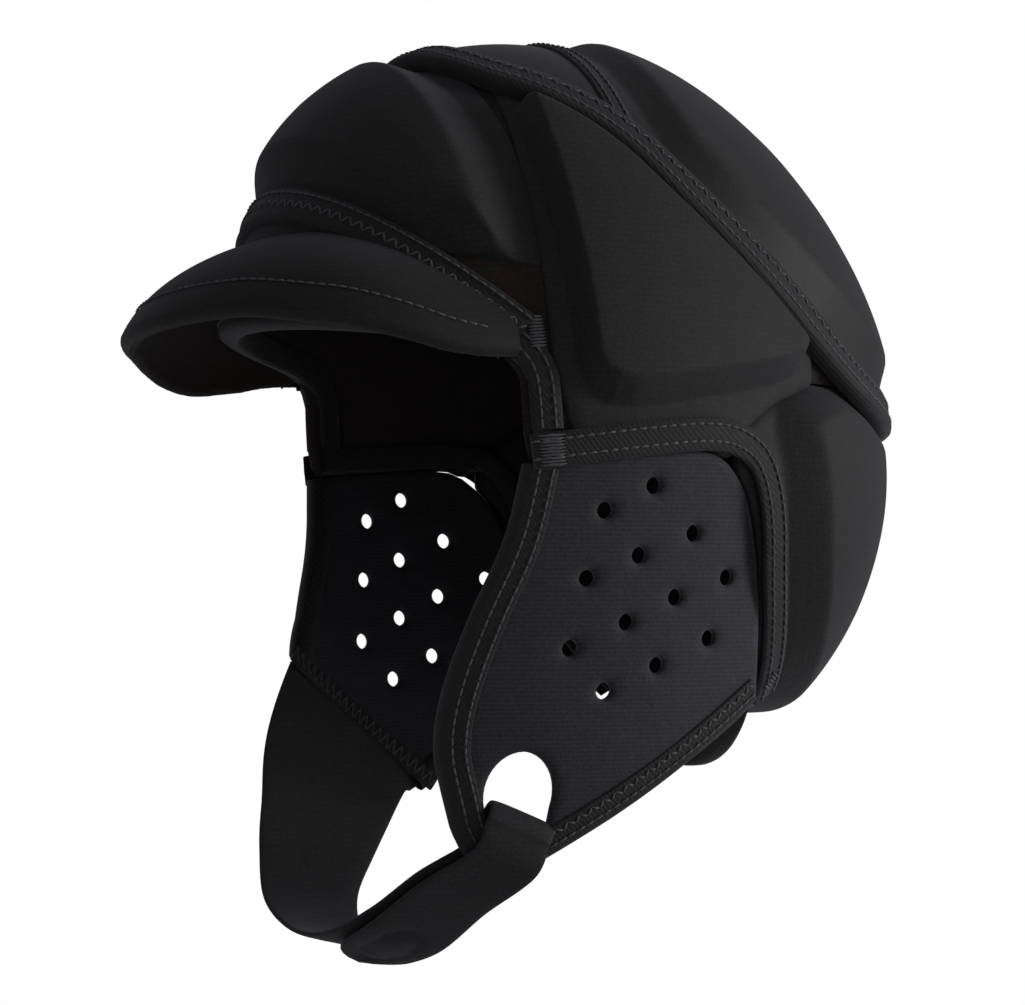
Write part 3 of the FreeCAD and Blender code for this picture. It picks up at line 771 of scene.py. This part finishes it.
core = finished("brimCore", brimCoreMesh(), foamLook)
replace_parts(core, "brim_core")
print("brim made")


# ear flaps

flapFront = [(-47, -58), (-50.9, -43.8), (-49.9, -27.2), (-44.4, -5.1), (-37.5, 14.1), (-35.2, 34.8)]
flapTop = [(-30, 35.9), (-2.9, 37.9), (15, 39.3), (24, 35.4), (33, 24)]
flapRear = [(40.2, -2.4), (43.3, -28.2), (43.3, -32.6)]
leftHem = [(7.7, -55.8), (-22, -74), (-30, -79), (-38, -78), (-44, -70)]
rightCut = [(7.7, -55.8), (-2.5, -61.8), (-50.6, -21.8), (-49, -14)]
flapHoles = [(-0.2, 29.3), (-13.8, 22.4), (13.9, 16.3), (-2.6, 10.1), (-17, 3.7), (27.1, 4.1),
             (10.1, -1.5), (-4.5, -8.4), (22.9, -13.1), (-19.8, -15.6), (6.2, -20.5), (-9, -27.6)]
flapLook = {"thick": 3.5, "hole": 2.4, "grid": 2.0, "slot": (-29.6, -56.4, 9.4, 12.0)}


def ring(centre, wide, tall, count):
    turn = np.linspace(0, 2 * math.pi, count, endpoint=False)
    return np.stack([centre[0] + wide * np.cos(turn), centre[1] + tall * np.sin(turn)], -1)


def slotOutline():
    # an oval whose foot is squared off along the strap's bar
    back, up, wide, tall = flapLook["slot"]
    oval = ring((back, up), wide, tall, 40)
    barLow = -66.6 - (oval[:, 0] + 29.5) * 0.45
    oval[:, 1] = np.where(oval[:, 1] < up - 4, np.maximum(oval[:, 1] - 4, barLow), oval[:, 1])
    return oval


def flatSpots(points):
    return np.column_stack([np.zeros(len(points)), points])


def cutSheet(outline, openings):
    # a fine flat mesh with real holes, each hole with two close rings round it
    outline = spaced(outline, 1.6, True)
    points, edges = list(map(tuple, outline)), []
    edges += [(i, (i + 1) % len(outline)) for i in range(len(outline))]
    rimBand = []
    for opening, widen in openings:
        middle = opening.mean(0)
        for grow in widen:
            reach = np.linalg.norm(opening - middle, axis=1)[:, None]
            loop = middle + (opening - middle) * (1 + grow / reach)
            start = len(points)
            points += list(map(tuple, loop))
            edges += [(start + i, start + (i + 1) % len(loop)) for i in range(len(loop))]
        rimBand.append((opening, max(widen)))
    low, high = outline.min(0), outline.max(0)
    step = flapLook["grid"]
    grid = []
    for row, up in enumerate(np.arange(low[1], high[1], step * 0.87)):
        for back in np.arange(low[0] + (row % 2) * step / 2, high[0], step):
            grid.append((back, up))
    grid = np.array(grid)
    clear = nearest(flatSpots(grid), flatSpots(outline)) > step * 0.6
    for opening, wide in rimBand:
        clear &= nearest(flatSpots(grid), flatSpots(opening)) > wide + step * 0.55
        clear &= ~insideOutline(flatSpots(grid), opening)
    points += list(map(tuple, grid[clear]))
    found = geometry.delaunay_2d_cdt([Vector(p) for p in points], edges, [], 0, 1e-5)
    flat = np.array([tuple(v) for v in found[0]])
    middles = flatSpots(np.array([flat[list(face)].mean(0) for face in found[2]]))
    wanted = insideOutline(middles, outline)
    for opening, _ in rimBand:
        wanted &= ~insideOutline(middles, opening)
    faces = [face for face, good in zip(found[2], wanted) if good]
    return flat, faces, rimBand


def flapMesh(form, outline, openings):
    flat, faces, rimBand = cutSheet(outline, openings)
    level = np.stack([np.zeros(len(flat)), flat[:, 0], flat[:, 1]], -1)
    press = np.zeros(len(flat))
    for opening, _ in rimBand:
        gap = np.linalg.norm(flat[:, None] - opening[None], axis=-1).min(1)
        press = np.maximum(press, 0.75 * np.exp(-(gap / 0.75) ** 2) + 0.12 * np.exp(-(gap / 3.0) ** 2))
    puff = 0.25 * ripple(level, 22.0, 9.0)
    outer = form.place(level, press - puff) * mm
    inner = form.place(level, flapLook["thick"] - press - puff) * mm
    bm = bmesh.new()
    top = [bm.verts.new(p) for p in outer]
    low = [bm.verts.new(p) for p in inner]
    for face in faces:
        bm.faces.new([top[i] for i in face])
        bm.faces.new([low[i] for i in reversed(face)])
    bm.edges.ensure_lookup_table()
    twin = dict(zip(top, low))
    topSet = set(top)
    for side in [e for e in bm.edges if e.is_boundary and e.verts[0] in topSet]:
        a, b = side.verts
        bm.faces.new([a, b, twin[b], twin[a]])
    loose = [v for v in bm.verts if not v.link_faces]
    bmesh.ops.delete(bm, geom=loose, context="VERTS")
    bmesh.ops.recalc_face_normals(bm, faces=bm.faces)
    return bm


def polygonArea(outline):
    y, z = outline[:, 0], outline[:, 1]
    return abs((y * np.roll(z, -1) - z * np.roll(y, -1)).sum()) / 2


holeRings = [(ring(hole, flapLook["hole"], flapLook["hole"], 20), (0.0, 0.5, 1.2)) for hole in flapHoles]
leftOutline = rounded(flapFront + flapTop + flapRear + leftHem, True, 2)
rightOutline = rounded(flapFront[3:] + flapTop + flapRear + rightCut, True, 1)
slotRing = [(slotOutline(), (0.0, 0.5, 1.2))]
leftMesh = flapMesh(leftFlap, leftOutline, holeRings + slotRing)
leftEar = finished("leftEarFlap", leftMesh, flapCloth)
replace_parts(leftEar, "left_ear_flap")
rightMesh = flapMesh(rightFlap, rightOutline, holeRings)
rightEar = finished("rightEarFlap", rightMesh, flapCloth)
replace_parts(rightEar, "right_ear_flap")
holeArea = len(flapHoles) * math.pi * flapLook["hole"] ** 2
slotArea = polygonArea(slotRing[0][0])
for piece, outline, opening in ((leftEar, leftOutline, slotArea), (rightEar, rightOutline, 0)):
    # the leaning, curved sheet is a little larger than its side view
    wide, tall = (outline.max(0) - outline.min(0)) * mm * np.array([1.02, 1.03])
    area = (polygonArea(outline) - holeArea - opening) * mm * mm * 1.05
print("ear flaps made")


# tapes and bindings

earOuter = [(-36, 42.5), (-2.9, 47.1), (19.3, 49), (31, 45.5), (38.5, 39), (43.7, 25.9), (48, 2), (62, -28)]
seamTop = [(-33, 74.4), (-110, 141.9)]
threads = bmesh.new()

tapeLook = {
    "thick": 0.9, "crossWide": 7.0, "crossThick": 0.8, "seamWide": 10.0, "seamThick": 2.6,
    "bindWide": 8.0, "earWide": 9.5, "earDrop": 2.0, "hemWide": 7.0, "browSheet": 5.0,
    # the crown's edge tape stands proud of both panels: inward, raised
    "proud": [(-0.2, -3.6), (-0.9, -3.0), (-1.2, -1.2), (-1.0, 0.7), (-0.3, 1.6), (0.8, 2.0), (2.2, 1.75),
              (4.5, 1.95), (6.6, 1.7), (8.4, 1.8), (9.4, 1.4), (9.8, 0.4), (10.0, -0.5)],
    "innerEar": [(-33, 45), (-2.9, 47), (17, 48.5), (30, 46.5)],
    "innerRear": [(29, 46.5), (38, 40), (43.7, 26), (48, 2), (58, -28)]}


def sewn(name, node, form, line, section, inward, depth, rows, closedLine=False, closedSection=False):
    # one tape or binding with its rows of thread: inset, raised, zigzag, pitch
    band = bandMesh(form, line, section, closedLine, inward, depth, closedSection)
    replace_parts(finished(name, band, tapeCloth), node)
    for inset, raised, zigzag, pitch in rows:
        stitches(threads, form, line, inset, raised, inward, depth, zigzag, pitch, closedLine)


def straight(inset, raised):
    return inset, raised, 0.0, stitchLook["pitch"]


def sideLine(form, outline, depth, cuts):
    return form.onSide(spaced(rounded(outline, cuts=cuts), lineStep), depth)[0]


def innerBand(form, outline, wide, side, inward):
    # a flat tape on the inside; its faces look into the head
    section = [(0, 0.3), (0.2, -0.7), (1, -1), (wide - 1, -1), (wide - 0.2, -0.7), (wide, 0.3)]
    line = sideLine(form, outline, linerDepth, 1) * side
    band = bandMesh(form, line, section, False, inward, linerDepth)
    bmesh.ops.reverse_faces(band, faces=band.faces)
    return band


plainRows = [straight(2.2, tapeLook["thick"]), straight(6.0, tapeLook["thick"])]
crownLoop = acrossHead(head, rounded(crownEdge, cuts=2), crownDepth)
sewn("crownEdgeTape", "crown_edge_tape", head, crownLoop, tapeLook["proud"], (0, 30, 160), crownDepth,
     [straight(2.2, 1.75), (6.6, 1.7, 1.6, 2.2)], closedLine=True)

crossLine = openAcross(head, [(crossBack - 3.5, 132), (crossBack - 3.5, 190)], crownDepth)
sewn("crownCrossTape", "crown_cross_tape", head, crossLine,
     tapeSection(tapeLook["crossWide"], tapeLook["crossThick"]), (0, 60, 150), crownDepth,
     [straight(1.8, tapeLook["crossThick"]), straight(5.2, tapeLook["crossThick"])])

seamLine = openAcross(head, seamTop, baseDepth)
sewn("brimSeamTape", "brim_seam_tape", head, seamLine,
     tapeSection(tapeLook["seamWide"], tapeLook["seamThick"]), (0, -100, 60), baseDepth,
     [straight(1.6, 2.45), (5.0, 2.45, 2.4, 2.0)])
stitches(threads, brimForm, brimStitchLine(brimLook["stitchShare"]), 0.0, 0.0, (0, -60, 112), 0.3,
         skew=brimSkew)

browLine = openAcross(head, rounded([(-34.5, 44)] + browEdge[1:], cuts=2), baseDepth)
sewn("browBinding", "brow_binding", head, browLine,
     wrapSection(tapeLook["bindWide"], tapeLook["thick"], tapeLook["browSheet"]), (0, 20, 170), baseDepth,
     plainRows, closedSection=True)

earBase = 7.0
for side, sign in (("left", 1), ("right", -1)):
    flip = np.array([sign, 1, 1])
    form = leftFlap if sign > 0 else rightFlap
    inward = np.array([70 * sign, -10, 0])
    sewn(side + "EarTape", side + "_ear_tape", nape, sideLine(nape, earOuter, earBase, 2) * flip,
         tapeSection(tapeLook["earWide"], tapeLook["thick"], tapeLook["earDrop"]), inward, earBase,
         [straight(2.0, tapeLook["thick"]), straight(6.8, tapeLook["thick"])])

    innerTape = innerBand(head, tapeLook["innerEar"], 8, flip, inward)
    rearTape = innerBand(nape, tapeLook["innerRear"], 7, flip, inward)
    finished(side + "InnerRearTape", rearTape, tapeCloth)
    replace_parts(finished(side + "InnerEarTape", innerTape, tapeCloth), side + "_inner_ear_tape")

    front = [(-36, -77.5), (-43.5, -70)] + flapFront if sign > 0 else [(-48.5, -19)] + flapFront[3:]
    sewn(side + "FaceBinding", side + "_face_binding", form, sideLine(form, front, 0.0, 2),
         wrapSection(tapeLook["bindWide"], tapeLook["thick"], flapLook["thick"]), (70 * sign, 10, 0), 0.0,
         plainRows, closedSection=True)

    hem = [(43.3, -30.5), (7.7, -55.8), (-25, -76) if sign > 0 else (-2.5, -61.8)]
    sewn(side + "FlapHem", side + "_flap_hem", form, sideLine(form, hem, 0.0, 2),
         wrapSection(tapeLook["hemWide"], tapeLook["thick"], flapLook["thick"]), (70 * sign, 0, 20), 0.0,
         [straight(2.0, tapeLook["thick"]), (5.0, tapeLook["thick"], 1.6, 2.0)], closedSection=True)

# the nape's rim hangs a little below the rear panels as a soft lip
napeLook = {"rim": [(56, -32), (60, -38), (70, -47), (90, -53), (160, -58)], "drop": 11.0, "thick": 4.2}
rimLine = openAcross(nape, rounded(napeLook["rim"], cuts=2), baseDepth + 0.4)


def napeLip(inset, first, last, thick):
    # a closed band below the rim: outer wall, rounded foot, inner wall
    count = len(rimLine) - 1
    lean = nape.normal(rimLine) * np.array([1, 1, 0])
    lean /= np.linalg.norm(lean, axis=1, keepdims=True)
    fall = napeLook["drop"] * np.sin(np.linspace(0, math.pi, len(rimLine))) ** 0.45

    def mapping(along, across):
        i = np.round(along * count).astype(int)
        turn = across * 2 * math.pi
        down = first + (last - first) * (0.5 - 0.5 * np.sign(np.cos(turn)) * np.abs(np.cos(turn)) ** 0.6)
        stand = np.sign(np.sin(turn)) * np.abs(np.sin(turn)) ** 0.6 * thick / 2
        drop = down * fall[i]
        spot = rimLine[i] + lean[i] * (stand - thick / 2 - inset - drop * 0.18)[:, None]
        spot[:, 2] -= drop
        return spot

    return wrapped(count, 20, mapping)


lip = finished("napeLip", napeLip(0.4, -0.35, 1.0, napeLook["thick"]), liningCloth)
napeBinding = finished("napeBinding", napeLip(-0.3, 0.42, 1.09, napeLook["thick"] + 1.4), tapeCloth)
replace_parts(napeBinding, "nape_binding")
print("tapes made")


# chin strap

strapLook = {"thick": 2.2, "foldHole": 3.5, "tip": 10.0, "patch": 0.7, "patchGap": 1.1, "drop": 9.0,
             "ease": 0.5, "slotWide": 19.5}
barBack, barUp = -29.5, -66.6
barMiddle = leftFlap.place(np.array([[0, barBack, barUp]]), np.array([flapLook["thick"] / 2]))[0]
barAlong = np.array([0.243, 0.886, -0.401])
barAlong /= np.linalg.norm(barAlong)
flapOut = np.array([0.925, -0.335, -0.18])
flapOut -= barAlong * (flapOut @ barAlong)
flapOut /= np.linalg.norm(flapOut)
barRise = np.cross(barAlong, flapOut)
barRise *= np.sign(barRise[2])
foldMid = strapLook["foldHole"] + strapLook["thick"] / 2

barFoot = barMiddle - barRise * strapLook["drop"]
barReach = foldMid + strapLook["ease"]

# centre, direction across and width at each station, from the right flap to the left
chinStations = [
    ((-58.3, -26.0, -41.0), (-0.144, 0.764, -0.629), 63),
    ((-58.5, -31.5, -53), (-0.1, 0.93, -0.35), 55),
    ((-59, -33.5, -63), (-0.05, 0.99, -0.05), 49),
    ((-54.5, -41, -80), (0.05, 0.98, -0.12), 38),
    ((-41, -49, -93), (0, 1, -0.06), 31),
    ((-20, -53, -101), (0, 0.98, -0.15), 25),
    ((4, -53, -101.5), (-0.02, 0.95, -0.28), 25),
    ((25, -49.5, -94), (-0.1, 0.92, -0.37), 25),
    ((40.5, -43, -83), (0, 0.92, -0.38), 23),
    (tuple(barFoot - flapOut * barReach), tuple(barAlong), strapLook["slotWide"]),
    (tuple(barMiddle - flapOut * foldMid - barRise * 0.3), tuple(barAlong), strapLook["slotWide"]),
]


def flowing(values, steps):
    # a smooth run through the stations
    values = np.array(values, float)
    ends = np.vstack([2 * values[0] - values[1], values, 2 * values[-1] - values[-2]])
    out = []
    for i in range(1, len(ends) - 2):
        for t in np.linspace(0, 1, steps, endpoint=False):
            a, b, c, d = ends[i - 1:i + 3]
            out.append(0.5 * (2 * b + (c - a) * t + (2 * a - 5 * b + 4 * c - d) * t * t
                              + (3 * b - a - 3 * c + d) * t ** 3))
    out.append(values[-1])
    return np.array(out)


def strapRun(stations, steps=12):
    table = np.array([[*c, *a, w] for c, a, w in stations], float)
    dense = flowing(table, steps)
    centre, across, wide = dense[:, :3], dense[:, 3:6], dense[:, 6]
    along = np.gradient(centre, axis=0)
    along /= np.linalg.norm(along, axis=1, keepdims=True)
    across /= np.linalg.norm(across, axis=1, keepdims=True)
    out = np.cross(across, along)
    out /= np.linalg.norm(out, axis=1, keepdims=True)
    return centre, across, out, wide


def strapMesh(centre, across, out, wide, thick, tip=0.0, emboss=None):
    # a soft-edged band; a tip rounds its last stretch, and an oval may be pressed in near the tip
    section = np.linspace(0, 2 * math.pi, 45)[:-1]
    lie = np.sign(np.cos(section)) * np.abs(np.cos(section)) ** 0.62
    stand = np.sign(np.sin(section)) * np.abs(np.sin(section)) ** 0.5
    run = np.concatenate([[0], np.cumsum(np.linalg.norm(np.diff(centre, axis=0), axis=1))])
    left = run[-1] - run
    width = wide.copy()
    if tip:
        width = wide * np.where(left < tip, np.sqrt(np.clip(1 - ((tip - left) / tip) ** 2, 0.0004, 1)), 1)
    rows = len(section)
    columns = len(centre) - 1 + 2

    def mapping(along, aroundShare):
        i = np.round(along * columns).astype(int)
        at = np.clip(i - 1, 0, len(centre) - 1)
        j = np.round(aroundShare * rows).astype(int) % rows
        cap = np.where((i == 0) | (i == columns), 0.0, 1.0)
        half = (width[at] / 2 - 0.4 * (1 - cap)) * cap
        side = lie[j] * half
        high = stand[j] * thick / 2 * np.where(cap > 0, 1, 0)
        if emboss:
            reach = np.hypot((left[at] - emboss["back"]) / emboss["long"], side / emboss["wide"])
            press = np.exp(-((reach - 1) / 0.13) ** 2) - 0.35 * (reach < 0.85)
            high = high + np.where(stand[j] < -0.4, press * emboss["deep"], 0)
        return centre[at] + across[at] * side[:, None] + out[at] * high[:, None]

    return wrapped(columns, rows, mapping)


centre, across, out, wide = strapRun(chinStations)
chinMesh = strapMesh(centre, across, out, wide, strapLook["thick"])
chin = finished("chinStrap", chinMesh, strapCloth)
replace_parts(chin, "chin_strap")
chinRun = (centre, across, out, wide)

# the folded-back end: over the bar, down outside the flap and along the strap
patchStep = strapLook["thick"] / 2 + 0.1 + 0.35
tabLift = 2 * patchStep + strapLook["patch"] + strapLook["patchGap"]
foldStations = []
for turn in np.radians(np.linspace(180, 0, 9)):
    spot = barMiddle + flapOut * foldMid * math.cos(turn) + barRise * foldMid * math.sin(turn)
    foldStations.append((tuple(spot), tuple(barAlong), strapLook["slotWide"]))
tabTop = barFoot + flapOut * barReach
tabStations = foldStations + [(tuple(tabTop), tuple(barAlong), strapLook["slotWide"])]
coarse = strapRun(chinStations, 1)
for k, width in ((8, 23), (7, 25), (6, 21)):
    tabStations.append((tuple(coarse[0][k] + coarse[2][k] * tabLift), tuple(coarse[1][k]), width))
tabCentre, tabAcross, tabOut, tabWide = strapRun(tabStations, 20)
ovalPress = {"back": 17.0, "long": 12.5, "wide": 6.4, "deep": 0.8}
tabMesh = strapMesh(tabCentre, tabAcross, tabOut, tabWide, strapLook["thick"], strapLook["tip"], ovalPress)
tab = finished("strapTab", tabMesh, strapCloth, place=False)
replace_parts(tab, "strap_tab", "strap_fold")
foldTop = barMiddle + flapOut * 1.0 + barRise * 5
hinge = barMiddle + flapOut * 5.7 - barRise * 1.5
tuple(foldTop * mm)
tuple(hinge * mm)
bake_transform(tab)
print("strap made")


def patchMesh(run, low, high, lift, thick, wide):
    centre, across, out, _ = run
    pick = (centre[:, 0] > low) & (centre[:, 0] < high) & (centre[:, 2] < -60)
    centre, across, out = centre[pick], across[pick], out[pick]
    return strapMesh(centre + out * lift, across, out, np.full(len(centre), wide), thick, 3.0)


loopMesh = patchMesh(chinRun, 4, 30, patchStep, strapLook["patch"], 16.0)
loopPatch = finished("loopPatch", loopMesh, loopCloth)
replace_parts(loopPatch, "loop_patch")
tabRun = (tabCentre, tabAcross, tabOut, tabWide)
hookMesh = patchMesh(tabRun, 6, 30, patchStep, strapLook["patch"], 15.0)
hookPatch = finished("hookPatch", hookMesh, loopCloth, body="strap_end")
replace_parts(hookPatch, "hook_patch")

seamCurve, _ = rightFlap.onSide(spaced([(-52.5, -20.8), (0, -63)], lineStep), 0.0)
seamSection = [(0.5, -3.2), (0.7, -4.3), (3.5, -4.5), (6.6, -4.3), (7, -3.2)]
innerSeam = bandMesh(rightFlap, seamCurve, seamSection, False, (-70, 20, 20), 0.0)
bmesh.ops.reverse_faces(innerSeam, faces=innerSeam.faces)
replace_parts(finished("strapSeamTape", innerSeam, tapeCloth), "strap_seam_tape")
stitches(threads, rightFlap, seamCurve, 3.6, -4.6, (-70, 20, 20), 0.0, zigzag=5.0, pitch=1.6)
finished("seamThread", threads, threadCloth)
print("stitching made")


# bartacks: dense rectangles of thread

tackThreads = {"ear": bmesh.new(), "brim": bmesh.new()}
tackLook = {"pitch": 0.75, "wide": 0.85, "tall": 0.7}


def bartack(bm, form, back, up, runBack, runUp, wide, side, depth):
    length = math.hypot(runBack, runUp)
    for step in np.linspace(-0.5, 0.5, int(wide / tackLook["pitch"])):
        spot = (back - runUp / length * wide * step, up + runBack / length * wide * step)
        level = np.array([[spot[0] - runBack / 2, spot[1] - runUp / 2],
                          [spot[0] + runBack / 2, spot[1] + runUp / 2]])
        ends, _ = form.onSide(level, depth)
        ends = ends * np.array([side, 1, 1])
        a, b = Vector(ends[0]), Vector(ends[1])
        along = b - a
        raised = Vector(form.normal(ends.mean(0, keepdims=True))[0])
        across = raised.cross(along).normalized()
        raised = along.normalized().cross(across)
        axes = (along * mm, across * tackLook["wide"] * mm, raised * tackLook["tall"] * mm)
        matrix = Matrix(axes).transposed().to_4x4()
        matrix.translation = (a + b) / 2 * mm
        bmesh.ops.create_uvsphere(bm, u_segments=5, v_segments=4, radius=0.5, matrix=matrix)


for side in (1, -1):
    bartack(tackThreads["ear"], nape, -31, 38.5, 8, 0.6, 8.0, side, 5.7)
    bartack(tackThreads["ear"], nape, 55.5, -26, 4.5, -1.5, 4.0, side, 5.7)
    bartack(tackThreads["brim"], head, -34, 71, 5, 0.4, 8.0, side, 7.7)
for label, node in (("ear", "ear_bartacks"), ("brim", "brim_bartacks")):
    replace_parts(finished(label + "Bartacks", tackThreads[label], threadCloth), node)


# studio

def floorAndLight():
    bm = bmesh.new()
    bmesh.ops.create_grid(bm, x_segments=1, y_segments=1, size=6.0)
    for vert in bm.verts:
        vert.co.z = cadBox[0][2] - 0.012
    mesh = bpy.data.meshes.new("floor")
    bm.to_mesh(mesh)
    bm.free()
    floor = bpy.data.objects.new("floor", mesh)
    bpy.context.scene.collection.objects.link(floor)
    s = Shader(bpy.data.materials.new("floorPaint"))
    s.set(Base_Color=(0.9, 0.9, 0.9, 1), Roughness=0.9)
    path = s.node("ShaderNodeLightPath")
    glow = s.node("ShaderNodeEmission", {}, {"Color": (1, 1, 1, 1), "Strength": 1.0})
    mix = s.node("ShaderNodeMixShader", {}, {0: path, 1: Wire(s, s.surface.outputs[0]), 2: glow})
    s.tree.links.new(mix.socket, s.tree.nodes["Material Output"].inputs[0])
    mesh.materials.append(s.owner)

    world = bpy.data.worlds.new("studio")
    bpy.context.scene.world = world
    s = Shader(world, "Background")
    s.set(Color=(0.92, 0.94, 1.0, 1), Strength=0.19)
    white = s.node("ShaderNodeBackground", {}, {"Color": (1, 1, 1, 1), "Strength": 1.0})
    seen = s.node("ShaderNodeLightPath")
    mix = s.node("ShaderNodeMixShader", {}, {0: seen, 1: Wire(s, s.surface.outputs[0]), 2: white})
    s.tree.links.new(mix.socket, s.tree.nodes["World Output"].inputs[0])
    lamps = (("keyLamp", (0.95, 1.15, 0.3), 0.6, 11.5), ("fillLamp", (1.2, -0.25, -0.35), 0.9, 3.4),
             ("topLamp", (0.1, 0.7, 1.2), 0.8, 0.7))
    for name, spot, size, power in lamps:
        data = bpy.data.lights.new(name, "AREA")
        data.size, data.energy = size, power
        lamp = bpy.data.objects.new(name, data)
        lamp.location = spot
        lamp.rotation_mode = "QUATERNION"
        lamp.rotation_quaternion = (Vector((0, 0, 0.03)) - Vector(spot)).to_track_quat("-Z", "Y")
        bpy.context.scene.collection.objects.link(lamp)


cameraLook = {"azimuth": 62.0, "distance": 0.93, "lens": 109.4, "shiftX": -0.005, "shiftY": 0.087}


def makeCamera():
    data = bpy.data.cameras.new("camera")
    data.lens = cameraLook["lens"]
    data.sensor_width = 36.0
    data.shift_x, data.shift_y = cameraLook["shiftX"], cameraLook["shiftY"]
    data.clip_start, data.clip_end = 0.05, 30
    camera = bpy.data.objects.new("camera", data)
    turn = math.radians(cameraLook["azimuth"])
    back = Vector((math.sin(turn), -math.cos(turn), 0))
    camera.location = back * cameraLook["distance"]
    camera.rotation_mode = "QUATERNION"
    camera.rotation_quaternion = (-back).to_track_quat("-Z", "Y")
    bpy.context.scene.collection.objects.link(camera)
    bpy.context.scene.camera = camera


floorAndLight()
makeCamera()
bpy.context.scene.view_settings.view_transform = "Standard"
print("studio ready")
